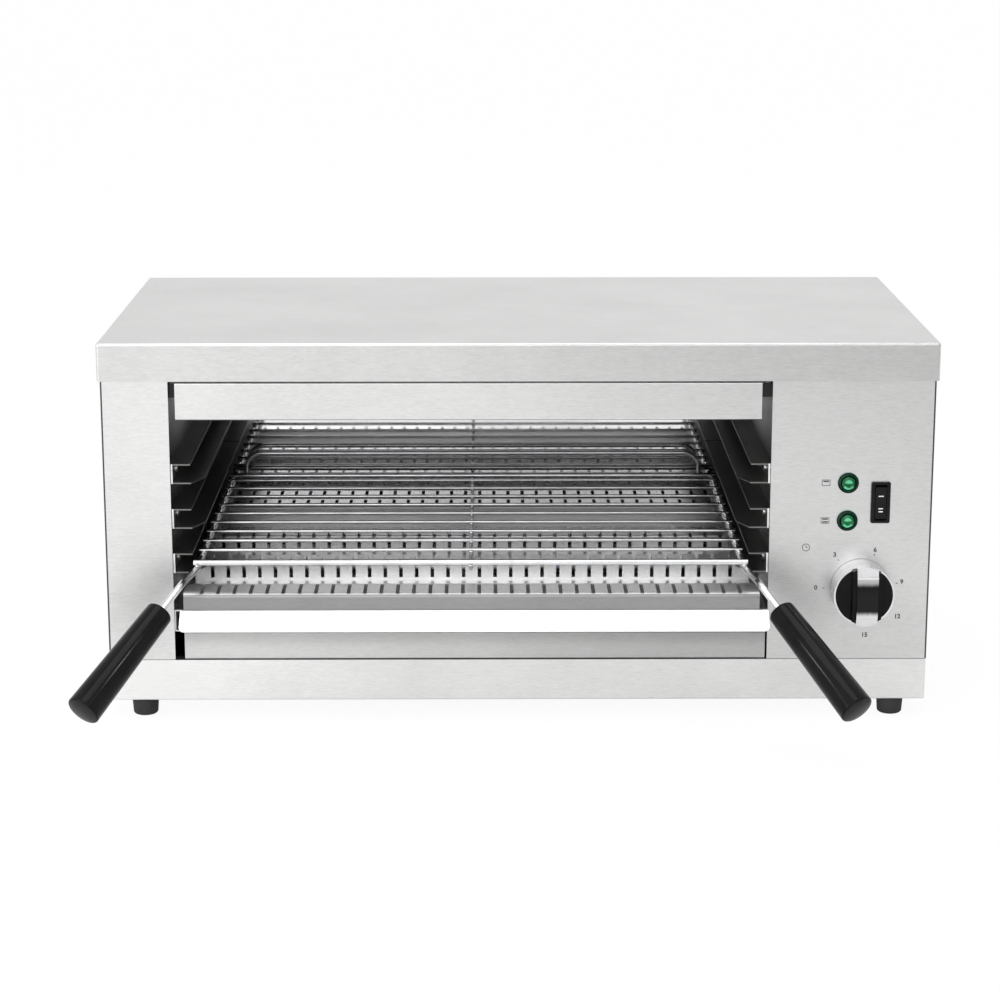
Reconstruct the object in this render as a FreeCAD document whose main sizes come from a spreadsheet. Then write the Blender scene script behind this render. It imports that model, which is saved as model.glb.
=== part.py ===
import FreeCAD, Part
import math
import os
import re
import Sketcher

# Counter-top cheese melter: a folded steel casing with an open grilling
# cavity on the left and a control compartment on the right.
# Lengths are in millimetres. While the pieces are built, X is 0 at the
# middle of the casing, Y is 0 at the face of the front panels and grows
# towards the back, and Z is 0 under the feet. At the end every piece is
# moved alike, so that X and Y are 0 at the middle of the whole outline.

# Each row is the name of a size, its value and what it measures.
SIZES = (
    ("sheet", 1.0, "thickness of the casing sheet"),
    ("case_width", 608.0, "outside of one side panel to the other"),
    ("case_depth", 310.0, "face of the front panels to the back"),
    ("case_height", 284.0, "counter to the top of the cover"),
    ("cover_sheet", 1.2, "thickness of the top cover"),
    ("cover_gap", 0.9, "space between the cover and the casing"),
    ("cover_drop", 28.3, "height of the folded edge of the cover"),
    ("cover_bend", 2.2, "outer bend radius of the cover"),
    ("seam", 0.4, "open seam between two panels"),
    ("corner_gap", 0.2, "front or back panel to a side panel"),
    ("side_flange", 13.0, "inward fold of the side panels"),
    ("base_height", 31.4, "height of the base pan"),
    ("base_lip", 12.0, "inward fold at the top of the base pan"),
    ("base_bend", 1.6, "outer bend radius of the base pan"),
    ("foot_height", 13.2, "height of a foot"),
    ("foot_radius", 10.0, "top radius of a foot"),
    ("foot_tip_radius", 9.0, "bottom radius of a foot"),
    ("foot_inset", 24.3, "foot centre from the side of the casing"),
    ("foot_setback", 12.0, "foot centre from the front or the back"),
    ("foot_bore_depth", 9.0, "depth of the bolt's hole in a foot"),
    ("foot_bolt_radius", 2.5, "shank of a foot bolt"),
    ("foot_bolt_head", 4.5, "head radius of a foot bolt"),
    ("foot_bolt_head_height", 3.0, "head height of a foot bolt"),
    ("foot_bolt_grip", 8.0, "length of a foot bolt inside the foot"),
    ("left_width", 49.0, "left side of the casing to the opening"),
    ("control_width", 119.0, "opening to the right side of the casing"),
    ("back_space", 10.0, "back reflector to the back of the casing"),
    ("wall_flange", 20.0, "outward fold of the cavity walls"),
    ("roof_fold", 12.0, "downward fold at the back of the roof"),
    ("pad_thickness", 22.0, "thickness of the insulation"),
    ("pad_gap", 0.6, "space between the insulation and the cover"),
    ("pad_inset", 5.0, "insulation edge from the roof's edge"),
    ("fascia_height", 28.3, "height of the strip above the opening"),
    ("fascia_gap", 1.3, "space between the strip and the cover's edge"),
    ("fascia_left_gap", 4.7, "left end of the strip to the cavity wall"),
    ("fascia_right_gap", 7.5, "right end of the strip to the cavity wall"),
    ("fascia_setback", 2.0, "strip behind the front panels' face"),
    ("fascia_fold", 12.0, "depth of the strip's folds"),
    ("strip_bend", 1.6, "outer bend radius of the front strips"),
    ("bracket_height", 10.2, "height of a strip bracket"),
    ("bracket_length", 17.0, "length of a bracket along the strip"),
    ("bracket_depth", 12.0, "length of a bracket along the wall"),
    ("lower_left_gap", 7.2, "left end of the lower panel to the wall"),
    ("lower_right_gap", 1.5, "right end of the lower panel to the wall"),
    ("lower_setback", 0.3, "lower panel behind the front panels' face"),
    ("lower_fold", 12.0, "depth of the lower panel's folds"),
    ("rail_shelf", 12.0, "width of the lower rails"),
    ("rail_bottom", 66.2, "counter to the underside of the lower rails"),
    ("rail_height", 16.5, "height of the lower rails"),
    ("rail_setback", 2.2, "front end of the rails and runners"),
    ("end_gap", 1.6, "back end of the rails and runners to the wall"),
    ("guard_left_gap", 7.0, "left end of the element guard to the wall"),
    ("guard_right_gap", 6.0, "right end of the element guard to the wall"),
    ("guard_rise", 12.3, "height of the guard's raised parts"),
    ("guard_setback", 0.5, "guard behind the front panels' face"),
    ("guard_nose", 4.0, "outer bend radius of the guard's front edge"),
    ("guard_bend", 1.5, "outer bend radius of the guard's other edges"),
    ("front_ledge", 28.0, "back of the guard's front ledge"),
    ("front_tunnel_share", 0.28, "first tunnel's front, in cavity depths"),
    ("rear_tunnel_share", 0.573, "second tunnel's front, in cavity depths"),
    ("tunnel_width", 30.0, "front to back of a raised tunnel"),
    ("rear_ledge_width", 28.5, "front to back of the guard's rear ledge"),
    ("guard_end_gap", 1.5, "back end of the guard to the reflector"),
    ("slot_width", 2.8, "width of a guard slot"),
    ("slot_margin", 20.35, "outermost guard slot to the cavity wall"),
    ("slot_count", 34, "number of guard slots along the guard"),
    ("slot_sill", 1.5, "slot's end above the guard's floor"),
    ("nose_share", 0.3, "front slot's end down the nose, in bend radii"),
    ("ledge_web", 2.5, "slot's end to the edge of a ledge"),
    ("runner_bottom", 111.0, "counter to the underside of the low runners"),
    ("runner_share", 0.228, "runner to runner, in heights above the first"),
    ("runner_height", 14.9, "height of a runner"),
    ("runner_shelf", 23.0, "width of a runner's lower flange"),
    ("runner_cap", 14.5, "width of a runner's upper flange"),
    ("runner_taper", 8.0, "width lost at a runner's front corner"),
    ("runner_taper_length", 19.0, "length of a runner's front taper"),
    ("runner_screw_inset", 22.0, "runner screw from the runner's end"),
    ("rack_side_gap", 15.5, "outside of a rack rod to the cavity wall"),
    ("rod_radius", 2.5, "radius of a rack rod"),
    ("rod_clearance", 0.05, "rack rod above its runner"),
    ("weld_gap", 0.02, "space between two wires that touch"),
    ("frame_wire_radius", 2.3, "radius of the rack's front and rear wires"),
    ("cross_wire_radius", 1.4, "radius of the rack's thin wires"),
    ("front_wire_place", 0.5, "front wire behind the front panels' face"),
    ("rear_wire_inset", 15.0, "rear wire to the back reflector"),
    ("first_cross_wire", 41.0, "first thin wire behind the panels' face"),
    ("last_cross_wire", 13.6, "last thin wire in front of the rear wire"),
    ("cross_wire_count", 9, "number of thin cross wires"),
    ("wire_overhang", 4.0, "centre wire and rods past the rear wire"),
    ("stop_inset", 14.5, "middle of a leg of the rear stop to the rack's side"),
    ("stop_height", 19.0, "height of the rear stop"),
    ("stop_radius", 1.9, "radius of the rear stop's wire"),
    ("stop_bend", 12.0, "bend radius of the rear stop"),
    ("handle_reach", 42.0, "handle bend in front of the panels' face"),
    ("handle_spread", 6.8, "handle bend outside the rack rod"),
    ("spread_start", 3.0, "handle's first bend behind the front wire"),
    ("handle_bend", 14.0, "bend radius of a handle rod"),
    ("spread_bend", 60.0, "bend radius of a handle rod's first bend"),
    ("handle_neck", 28.0, "bare handle rod from its bend to the grip"),
    ("grip_droop_angle", 32.7, "degrees that a grip points down"),
    ("grip_splay_angle", 35.3, "degrees that a grip points outward"),
    ("grip_length", 98.0, "length of a grip"),
    ("grip_neck_radius", 10.0, "radius of a grip at the rod"),
    ("grip_end_radius", 12.5, "radius of a grip at its free end"),
    ("grip_neck_round", 2.5, "rounding of a grip at the rod"),
    ("grip_end_round", 7.5, "rounding of a grip's free end"),
    ("grip_bore_depth", 62.0, "depth of the rod's hole in a grip"),
    ("rod_insertion", 60.0, "length of the rod inside a grip"),
    ("bore_clearance", 0.05, "radial clearance of a pin in its bore"),
    ("tray_sheet", 0.9, "thickness of the crumb tray"),
    ("tray_side_gap", 5.0, "tray narrower than the cavity, on each side"),
    ("tray_shift", 2.5, "tray's middle to the right of the cavity's"),
    ("tray_clearance", 0.05, "tray above its rails"),
    ("tray_wall", 12.5, "height of the crumb tray's walls"),
    ("tray_front_height", 15.6, "height of the crumb tray's front"),
    ("tray_standoff", 0.1, "tray's front off the panels' face"),
    ("tray_end_gap", 8.0, "back of the tray to the reflector"),
    ("lip_side_gap", 2.0, "lip narrower than the cavity, on each side"),
    ("lip_reach", 14.0, "lip forward of the tray's front"),
    ("lip_fall", 12.1, "lip's lower edge below its upper edge"),
    ("lip_round", 4.0, "corner radius of the lip"),
    ("element_radius", 4.0, "radius of a heating element"),
    ("stud_radius", 2.0, "radius of an element's terminal"),
    ("stud_length", 12.0, "length of an element's terminal"),
    ("element_overhang", 13.0, "element past the cavity wall's face"),
    ("upper_element_drop", 21.2, "upper elements below the cavity's roof"),
    ("upper_element_inset", 60.0, "outer upper element to the cavity's end"),
    ("upper_element_count", 3, "number of upper elements"),
    ("lower_element_rise", 5.8, "lower elements above the guard's floor"),
    ("bush_radius", 6.0, "radius of an insulator in the wall"),
    ("bush_flange_radius", 9.0, "flange radius of an insulator"),
    ("bush_flange", 4.0, "flange thickness of an insulator"),
    ("bush_nose", 3.0, "insulator past the inside of the wall"),
    ("hanger_width", 14.0, "width of an element hanger"),
    ("hanger_foot", 8.0, "hanger below the element's middle"),
    ("knob_inset", 50.8, "knob's middle to the side of the casing"),
    ("knob_height", 99.4, "counter to the knob's middle"),
    ("knob_radius", 22.3, "radius of the knob"),
    ("knob_gap", 0.6, "knob's back off the control panel"),
    ("knob_depth", 21.0, "depth of the knob's round body"),
    ("knob_rim", 1.4, "rim round the knob's insets"),
    ("knob_hollow_radius", 19.5, "radius of the hollow behind the knob"),
    ("knob_hollow_depth", 8.6, "depth of the hollow behind the knob"),
    ("knob_bar_width", 15.5, "width of the knob's grip bar"),
    ("knob_bar_rise", 7.5, "grip bar in front of the round body"),
    ("knob_bar_crest", 28.0, "length of the grip bar's crest"),
    ("knob_bar_round", 6.0, "rounding of the grip bar's crest"),
    ("knob_edge_round", 1.0, "rounding of the knob's front edge"),
    ("inset_depth", 1.6, "thickness of the knob's black insets"),
    ("inset_gap", 0.1, "inset to the knob round it"),
    ("shaft_radius", 3.0, "radius of the timer's shaft"),
    ("shaft_in_knob", 12.0, "length of the shaft inside the knob"),
    ("shaft_in_timer", 28.0, "length of the shaft inside the timer"),
    ("timer_width", 44.0, "width of the timer"),
    ("timer_height", 50.0, "height of the timer"),
    ("timer_depth", 43.0, "depth of the timer"),
    ("timer_screw_pitch", 28.0, "spacing of the timer's two screws"),
    ("shaft_hole_clearance", 1.0, "shaft to its hole in the panel"),
    ("rocker_inset", 38.0, "switch's middle to the side of the casing"),
    ("rocker_rise", 65.2, "switch's middle above the knob's"),
    ("bezel_width", 14.2, "width of the switch's bezel"),
    ("bezel_height", 31.0, "height of the switch's bezel"),
    ("bezel_depth", 2.0, "bezel in front of the control panel"),
    ("bezel_round", 0.8, "rounding of the bezel's edges"),
    ("switch_width", 12.0, "width of the switch behind the panel"),
    ("switch_height", 28.4, "height of the switch behind the panel"),
    ("switch_depth", 20.0, "depth of the switch behind the panel"),
    ("switch_clearance", 0.1, "switch in its hole in the panel"),
    ("well_width", 8.8, "width of the paddle's well"),
    ("well_height", 26.8, "height of the paddle's well"),
    ("well_depth", 14.0, "depth of the well behind the panel's face"),
    ("paddle_width", 8.0, "width of the switch's paddle"),
    ("paddle_height", 24.0, "height of the switch's paddle"),
    ("paddle_proud", 2.8, "paddle's ends in front of the panel's face"),
    ("paddle_dip", 1.3, "paddle's middle behind its ends"),
    ("paddle_keel", 9.0, "paddle's keel behind the panel's face"),
    ("paddle_keel_height", 10.0, "height of the paddle's keel"),
    ("pivot_depth", 4.0, "paddle's pivot behind the panel's face"),
    ("pivot_radius", 1.0, "radius of the paddle's pin"),
    ("lamp_inset", 62.1, "lamps' middle to the side of the casing"),
    ("upper_lamp_rise", 80.0, "upper lamp above the knob's middle"),
    ("lower_lamp_rise", 51.5, "lower lamp above the knob's middle"),
    ("lens_radius", 7.75, "radius of a lamp's flange"),
    ("lens_flange", 1.6, "thickness of a lamp's flange"),
    ("lens_dome_radius", 6.4, "radius of a lamp's raised middle"),
    ("lens_dome", 3.0, "height of a lamp's raised middle"),
    ("lens_round", 1.8, "rounding of a lamp's raised middle"),
    ("lens_tail_radius", 4.8, "radius of the lens inside its body"),
    ("lens_tail", 3.0, "length of the lens inside its body"),
    ("lamp_body_radius", 6.0, "radius of a lamp's body"),
    ("lamp_body_length", 24.0, "length of a lamp's body"),
    ("lamp_nut_radius", 9.0, "corner radius of a lamp's nut"),
    ("lamp_nut_thickness", 3.0, "thickness of a lamp's nut"),
    ("screw_radius", 1.9, "shank radius of a small screw"),
    ("screw_head_radius", 3.5, "head radius of a small screw"),
    ("screw_head", 1.8, "head height of a small screw"),
    ("screw_round", 1.1, "rounding of a small screw's head"),
    ("screw_length", 8.0, "length of a small screw under its head"),
    ("cover_screw_drop", 8.0, "cover screw below the top of the cover"),
    ("cover_screw_inset", 14.0, "cover screw from the front or back"),
    ("back_screw_inset", 8.0, "back screw from the side of the casing"),
    ("back_screw_margin", 15.0, "outer back screw to the seam or the cover"),
    ("gland_inset", 42.0, "cable gland to the side of the casing"),
    ("gland_height", 70.0, "counter to the cable gland"),
    ("gland_bore", 4.1, "radius of the cable's way in"),
    ("gland_neck", 8.0, "radius of the gland in the panel"),
    ("gland_flange_radius", 11.0, "flange radius of the gland"),
    ("gland_flange", 5.0, "flange thickness of the gland"),
    ("gland_cap_radius", 9.0, "radius of the gland's cap"),
    ("gland_cap", 9.0, "length of the gland's cap"),
    ("gland_inside", 10.0, "gland inside the back panel's face"),
    ("gland_nut_thickness", 5.0, "thickness of the gland's nut"),
    ("earth_inset", 72.0, "earth terminal to the side of the casing"),
    ("earth_radius", 2.5, "radius of the earth terminal's stud"),
    ("earth_length", 12.0, "earth stud outside the back panel"),
    ("earth_nut_radius", 4.6, "corner radius of the earth nut"),
    ("earth_nut", 4.0, "thickness of the earth nut"),
    ("block_width", 42.0, "width of the terminal block"),
    ("block_depth", 22.0, "depth of the terminal block"),
    ("block_height", 18.0, "height of the terminal block"),
    ("block_inset", 66.0, "block's middle to the side of the casing"),
    ("block_setback", 40.0, "block's middle in front of the back panel"),
    ("block_screw_radius", 2.6, "radius of a screw well in the block"),
    ("block_screw_depth", 10.0, "depth of a screw well in the block"),
    ("block_screw_pitch", 12.0, "spacing of the block's screw wells"),
    ("vent_length", 40.0, "length of an air slot"),
    ("vent_width", 3.5, "width of an air slot"),
    ("vent_pitch", 10.0, "spacing of the air slots"),
    ("vent_count", 8, "number of air slots in a row"),
    ("vent_height", 130.0, "counter to the middle of the air slots"),
    ("side_vent_inset", 160.0, "first side air slot to the casing's back"),
    ("back_vent_inset", 94.0, "first back air slot to the casing's side"),
    ("overrun", 2.0, "length of a cutting tool past the metal"),
)

# Places that follow from the sizes, each worked out once.
PLACES = (
    ("half_width", "case_width / 2"),
    ("cavity_left", "-half_width + left_width"),
    ("cavity_right", "half_width - control_width"),
    ("cavity_middle", "(cavity_left + cavity_right) / 2"),
    ("opening_width", "cavity_right - cavity_left"),
    ("cavity_depth", "case_depth - back_space"),
    ("base_floor", "foot_height + sheet"),
    ("base_top", "foot_height + base_height"),
    ("panel_bottom", "base_top + seam"),
    ("panel_top", "case_height - cover_sheet"),
    ("panel_edge", "half_width - sheet - corner_gap"),
    ("cover_under", "case_height - cover_sheet"),
    ("cover_out", "cover_gap + cover_sheet"),
    ("cover_edge", "case_height - cover_drop"),
    ("roof_top", "cover_under - pad_gap - pad_thickness"),
    ("roof_under", "roof_top - sheet"),
    ("roof_left", "cavity_left - wall_flange"),
    ("roof_right", "cavity_right + wall_flange"),
    ("back_face", "case_depth - sheet"),
    ("back_screw_start", "panel_bottom + back_screw_margin"),
    ("back_screw_pitch",
     "(cover_edge - back_screw_margin - back_screw_start) / 2"),
    ("fascia_top", "cover_edge - fascia_gap"),
    ("fascia_bottom", "fascia_top - fascia_height"),
    ("fascia_left", "cavity_left + fascia_left_gap"),
    ("fascia_right", "cavity_right - fascia_right_gap"),
    ("fascia_back", "fascia_setback + sheet"),
    ("lower_left", "cavity_left + lower_left_gap"),
    ("lower_right", "cavity_right - lower_right_gap"),
    ("lower_top", "rail_bottom"),
    ("rail_top", "rail_bottom + rail_height"),
    ("rail_end", "cavity_depth - end_gap"),
    ("guard_floor", "rail_top + sheet"),
    ("guard_top", "guard_floor + guard_rise"),
    ("guard_left", "cavity_left + guard_left_gap"),
    ("guard_right", "cavity_right - guard_right_gap"),
    ("guard_end", "cavity_depth - guard_end_gap"),
    ("front_tunnel", "front_tunnel_share * cavity_depth"),
    ("rear_tunnel", "rear_tunnel_share * cavity_depth"),
    ("rear_ledge", "guard_end - rear_ledge_width"),
    ("slot_start", "cavity_left + slot_margin"),
    ("slot_pitch", "(opening_width - 2 * slot_margin) / (slot_count - 1)"),
    ("slot_bottom", "guard_floor + slot_sill"),
    ("nose_end", "guard_top - guard_nose * nose_share"),
    ("runner_pitch", "runner_share * (roof_under - runner_bottom)"),
    ("rack_width", "opening_width - 2 * rack_side_gap"),
    ("rod_side", "rack_width / 2 - rod_radius"),
    ("rod_height", "runner_bottom + sheet + rod_clearance + rod_radius"),
    ("frame_wire_height",
     "rod_height + rod_radius + weld_gap + frame_wire_radius"),
    ("cross_wire_height",
     "rod_height + rod_radius + weld_gap + cross_wire_radius"),
    ("centre_wire_height",
     "cross_wire_height - 2 * cross_wire_radius - weld_gap"),
    ("stop_foot", "frame_wire_height + frame_wire_radius + weld_gap"),
    ("stop_half", "rack_width / 2 - stop_inset"),
    ("rear_wire_place", "cavity_depth - rear_wire_inset"),
    ("cross_wire_run",
     "rear_wire_place - last_cross_wire - first_cross_wire"),
    ("cross_wire_pitch", "cross_wire_run / (cross_wire_count - 1)"),
    ("rod_end", "rear_wire_place + wire_overhang"),
    ("tray_middle", "cavity_middle + tray_shift"),
    ("tray_width", "opening_width - 2 * tray_side_gap"),
    ("lip_width", "opening_width - 2 * lip_side_gap"),
    ("tray_left", "tray_middle - tray_width / 2"),
    ("tray_bottom", "rail_bottom + sheet + tray_clearance"),
    ("tray_floor", "tray_bottom + tray_sheet"),
    ("tray_front", "-tray_standoff - tray_sheet"),
    ("tray_back", "cavity_depth - tray_end_gap"),
    ("lip_top", "tray_bottom + tray_front_height"),
    ("lip_slope_length", "sqrt(lip_reach ^ 2 + lip_fall ^ 2)"),
    ("lip_under_y", "tray_sheet * lip_fall / lip_slope_length"),
    ("lip_under_z", "tray_sheet * lip_reach / lip_slope_length"),
    ("upper_element_height", "roof_under - upper_element_drop"),
    ("upper_element_run", "cavity_depth - 2 * upper_element_inset"),
    ("upper_element_pitch",
     "upper_element_run / (upper_element_count - 1)"),
    ("lower_element_height", "guard_floor + lower_element_rise"),
    ("knob_place", "half_width - knob_inset"),
    ("rocker_place", "half_width - rocker_inset"),
    ("lamp_place", "half_width - lamp_inset"),
    ("rocker_height", "knob_height + rocker_rise"),
    ("upper_lamp_height", "knob_height + upper_lamp_rise"),
    ("lower_lamp_height", "knob_height + lower_lamp_rise"),
    ("gland_place", "half_width - gland_inset"),
    ("earth_place", "half_width - earth_inset"),
    ("block_place", "half_width - block_inset"),
    ("side_vent_place", "case_depth - side_vent_inset"),
    ("back_vent_place", "half_width - back_vent_inset"),
    ("knob_back", "-knob_gap"),
    ("knob_front", "knob_back - knob_depth"),
    ("knob_crest", "knob_front - knob_bar_rise"),
)

SIZE_NAMES = {row[0] for row in SIZES}
PLACE_NAMES = {row[0] for row in PLACES}
# A plane's axes in order: across it, up it and along its normal.
PLANES = {"XY_Plane": "XYZ", "XZ_Plane": "XZY", "YZ_Plane": "YZX"}
AXES = {
    "X": FreeCAD.Vector(1, 0, 0),
    "Y": FreeCAD.Vector(0, 1, 0),
    "Z": FreeCAD.Vector(0, 0, 1),
}
NEAR = 1e-4

doc = FreeCAD.newDocument("cheese_melter")
sizes = doc.addObject("Spreadsheet::Sheet", "Sizes")
places = doc.addObject("App::VarSet", "Places")
finished = []


def qualified(text):
    """Write an expression's names the way FreeCAD finds them."""

    def owner(match):
        name = match.group(0)
        if name in SIZE_NAMES:
            return "Sizes." + name
        if name in PLACE_NAMES:
            return "Places." + name
        return name

    return re.sub(r"[a-z_]+[a-z0-9_]*", owner, text)


def number(text):
    """The value of an expression of sizes and places."""
    return float(sizes.evalExpression(qualified(text)))


def bind(item, **texts):
    """Bind properties of a document object to expressions."""
    for name, text in texts.items():
        item.setExpression(name, qualified(text))


def bind_place(item, x, y, z):
    """Bind the position of a document object to expressions."""
    for axis, text in (("x", x), ("y", y), ("z", z)):
        item.setExpression("Placement.Base." + axis, qualified(text))


def fill_sheet():
    """Write the sizes to the sheet and work out the places."""
    for row, (name, value, meaning) in enumerate(SIZES, start=1):
        sizes.set(f"A{row}", meaning)
        sizes.set(f"B{row}", str(value))
        sizes.setAlias(f"B{row}", name)
    doc.recompute()
    for name, text in PLACES:
        places.addProperty("App::PropertyFloat", name, "Places")
        places.setExpression(name, qualified(text))
    doc.recompute()


def finish(item, label):
    """Name a finished sub-part and keep it for the export."""
    item.Label = label
    finished.append(item)
    return item


def box(name, x, y, z, width, depth, height):
    """A block from its low corner and its three sizes."""
    item = doc.addObject("Part::Box", name)
    bind(item, Length=width, Width=depth, Height=height)
    bind_place(item, x, y, z)
    return item


def cylinder(name, axis, x, y, z, radius, length):
    """A round bar from the middle of its low end, along an axis."""
    item = doc.addObject("Part::Cylinder", name)
    turn = FreeCAD.Rotation(AXES["Z"], AXES[axis])
    item.Placement = FreeCAD.Placement(FreeCAD.Vector(), turn)
    bind(item, Radius=radius, Height=length)
    bind_place(item, x, y, z)
    return item


def cut(name, base, tools):
    """A base with the tools cut away."""
    item = doc.addObject("Part::Cut", name)
    item.Base = base
    item.Tool = tools[0] if len(tools) == 1 else gather(name + "_tools", tools)
    return item


def fuse(name, shapes):
    """Several overlapping shapes made one."""
    item = doc.addObject("Part::MultiFuse", name)
    item.Shapes = shapes
    item.Refine = True
    return item


def gather(name, shapes):
    """Several shapes held together as separate solids."""
    item = doc.addObject("Part::Compound", name)
    item.Links = shapes
    return item


def stack(name, axis, at, steps, bore=None):
    """A turned piece: round steps on one axis, with an optional bore.

    at holds the X, Y and Z of the axis. Each step, and the bore, is a
    radius, a start along the axis and a length.
    """
    index = "XYZ".index(axis)
    parts = []
    for number_of_step, (radius, start, length) in enumerate(steps, start=1):
        spot = list(at)
        spot[index] = start
        part_name = f"{name}_step{number_of_step}"
        parts.append(cylinder(part_name, axis, *spot, radius, length))
    solid = parts[0] if len(parts) == 1 else fuse(name + "_body", parts)
    if bore is None:
        return solid
    radius, start, length = bore
    spot = list(at)
    spot[index] = start
    tool = cylinder(name + "_bore", axis, *spot, radius, length)
    return cut(name + "_bored", solid, [tool])


def edges_where(shape, wanted):
    """The names of the edges for which wanted is true."""
    names = []
    for index, edge in enumerate(shape.Edges, start=1):
        if wanted(edge):
            names.append(f"Edge{index}")
    return names


def straight_along(edge, axis_index):
    """Whether an edge is straight and lies along one axis."""
    if len(edge.Vertexes) != 2:
        return False
    first, last = (vertex.Point for vertex in edge.Vertexes)
    apart = [abs(first[k] - last[k]) for k in range(3)]
    across = [apart[k] for k in range(3) if k != axis_index]
    return max(across) < NEAR < apart[axis_index]


def rounded(item, name, wanted, radius):
    """Round the chosen edges of a finished shape."""
    doc.recompute()
    fillet = doc.addObject("Part::Fillet", name)
    fillet.Base = item
    size = number(radius)
    chosen = edges_where(item.Shape, wanted)
    fillet.Edges = [(int(edge[len("Edge"):]), size, size) for edge in chosen]
    return fillet


def plane_of(body, role):
    """One of a body's own origin planes."""
    for feature in body.Origin.OriginFeatures:
        if feature.Role == role:
            return feature
    raise ValueError(role)


def sketch_on(body, name, role, start):
    """An empty sketch on a body's plane, moved along the normal."""
    sketch = body.newObject("Sketcher::SketchObject", name)
    sketch.AttachmentSupport = [(plane_of(body, role), "")]
    sketch.MapMode = "FlatFace"
    way = "-1" if role == "XZ_Plane" else "1"
    text = qualified(f"{way} * ({start})")
    sketch.setExpression("AttachmentOffset.Base.z", text)
    return sketch


def draw_outline(sketch, corners):
    """A closed outline, each corner bound to its two expressions."""
    spots = [(number(corner[0]), number(corner[1])) for corner in corners]
    first = sketch.GeometryCount
    count = len(spots)
    for index, spot in enumerate(spots):
        following = spots[(index + 1) % count]
        start = FreeCAD.Vector(spot[0], spot[1], 0)
        end = FreeCAD.Vector(following[0], following[1], 0)
        sketch.addGeometry(Part.LineSegment(start, end))
    for index, (corner, spot) in enumerate(zip(corners, spots)):
        line = first + index
        following = first + (index + 1) % count
        join = Sketcher.Constraint("Coincident", line, 2, following, 1)
        sketch.addConstraint(join)
        for kind, text, value in (
            ("DistanceX", corner[0], spot[0]),
            ("DistanceY", corner[1], spot[1]),
        ):
            rule = Sketcher.Constraint(kind, -1, 1, line, 1, value)
            place = sketch.addConstraint(rule)
            sketch.setExpression(f"Constraints[{place}]", qualified(text))


def draw_circle(sketch, across, up, radius):
    """A circle bound to its middle and its radius."""
    middle = FreeCAD.Vector(number(across), number(up), 0)
    size = number(radius)
    normal = FreeCAD.Vector(0, 0, 1)
    ring = sketch.addGeometry(Part.Circle(middle, normal, size))
    for kind, text, value in (
        ("DistanceX", across, middle.x),
        ("DistanceY", up, middle.y),
    ):
        rule = Sketcher.Constraint(kind, -1, 1, ring, 3, value)
        place = sketch.addConstraint(rule)
        sketch.setExpression(f"Constraints[{place}]", qualified(text))
    rule = Sketcher.Constraint("Radius", ring, size)
    place = sketch.addConstraint(rule)
    sketch.setExpression(f"Constraints[{place}]", qualified(radius))


def folded(name, role, start, length, corners):
    """A body whose outline runs along a plane's normal.

    Each corner is its two places across the plane, and may add the
    radius that its edge is rounded to.
    """
    body = doc.addObject("PartDesign::Body", name)
    sketch = sketch_on(body, name + "_outline", role, start)
    draw_outline(sketch, corners)
    pad = body.newObject("PartDesign::Pad", name + "_pad")
    pad.Profile = sketch
    pad.Reversed = role == "XZ_Plane"
    bind(pad, Length=length)
    doc.recompute()
    across, up, along = ("XYZ".index(axis) for axis in PLANES[role])
    radii = sorted({corner[2] for corner in corners if len(corner) > 2})
    for index, radius in enumerate(radii, start=1):
        spots = [
            (number(corner[0]), number(corner[1]))
            for corner in corners
            if len(corner) > 2 and corner[2] == radius
        ]

        def at_a_spot(edge):
            if not straight_along(edge, along):
                return False
            point = edge.Vertexes[0].Point
            return any(
                abs(point[across] - spot[0]) < NEAR
                and abs(point[up] - spot[1]) < NEAR
                for spot in spots
            )

        round_edges(body, f"{name}_round{index}", at_a_spot, radius)
    return body


def round_edges(body, name, wanted, radius):
    """Round the chosen edges of a body's tip."""
    base = body.Tip
    names = edges_where(base.Shape, wanted)
    fillet = body.newObject("PartDesign::Fillet", name)
    fillet.Base = (base, names)
    bind(fillet, Radius=radius)
    doc.recompute()


def pocket_both_ways(body, name, role, start, length, outlines, circles=()):
    """Cut outlines and circles half the length to each side of a plane."""
    sketch = sketch_on(body, name + "_outline", role, start)
    for corners in outlines:
        draw_outline(sketch, corners)
    for across, up, radius in circles:
        draw_circle(sketch, across, up, radius)
    pocket = body.newObject("PartDesign::Pocket", name)
    pocket.Profile = sketch
    pocket.SideType = "Symmetric"
    bind(pocket, Length=length)
    doc.recompute()
    return pocket


def repeat(body, name, feature, axis_role, pitch, count):
    """Repeat a feature along one of the body's axes."""
    pattern = body.newObject("PartDesign::LinearPattern", name)
    pattern.Originals = [feature]
    axis = plane_of(body, axis_role)
    pattern.Direction = (axis, [""])
    bind(pattern, Length=f"{pitch} * ({count} - 1)", Occurrences=count)
    body.Tip = pattern
    doc.recompute()


def rectangle(left, bottom, right, top):
    """The four corners of an upright outline."""
    return [(left, bottom), (right, bottom), (right, top), (left, top)]


def smooth_wire(points, radii):
    """Straight runs through points, with a tangent arc at each inner one."""
    edges = []
    start = points[0]
    for index, radius in enumerate(radii, start=1):
        corner = points[index]
        towards = (points[index - 1] - corner).normalize()
        onwards = (points[index + 1] - corner).normalize()
        half = towards.getAngle(onwards) / 2
        reach = radius / math.tan(half)
        enter = corner + towards * reach
        leave = corner + onwards * reach
        inward = (towards + onwards).normalize()
        centre = corner + inward * (radius / math.sin(half))
        middle = centre - inward * radius
        edges.append(Part.LineSegment(start, enter).toShape())
        edges.append(Part.Arc(enter, middle, leave).toShape())
        start = leave
    edges.append(Part.LineSegment(start, points[-1]).toShape())
    return Part.Wire(edges)


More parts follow.
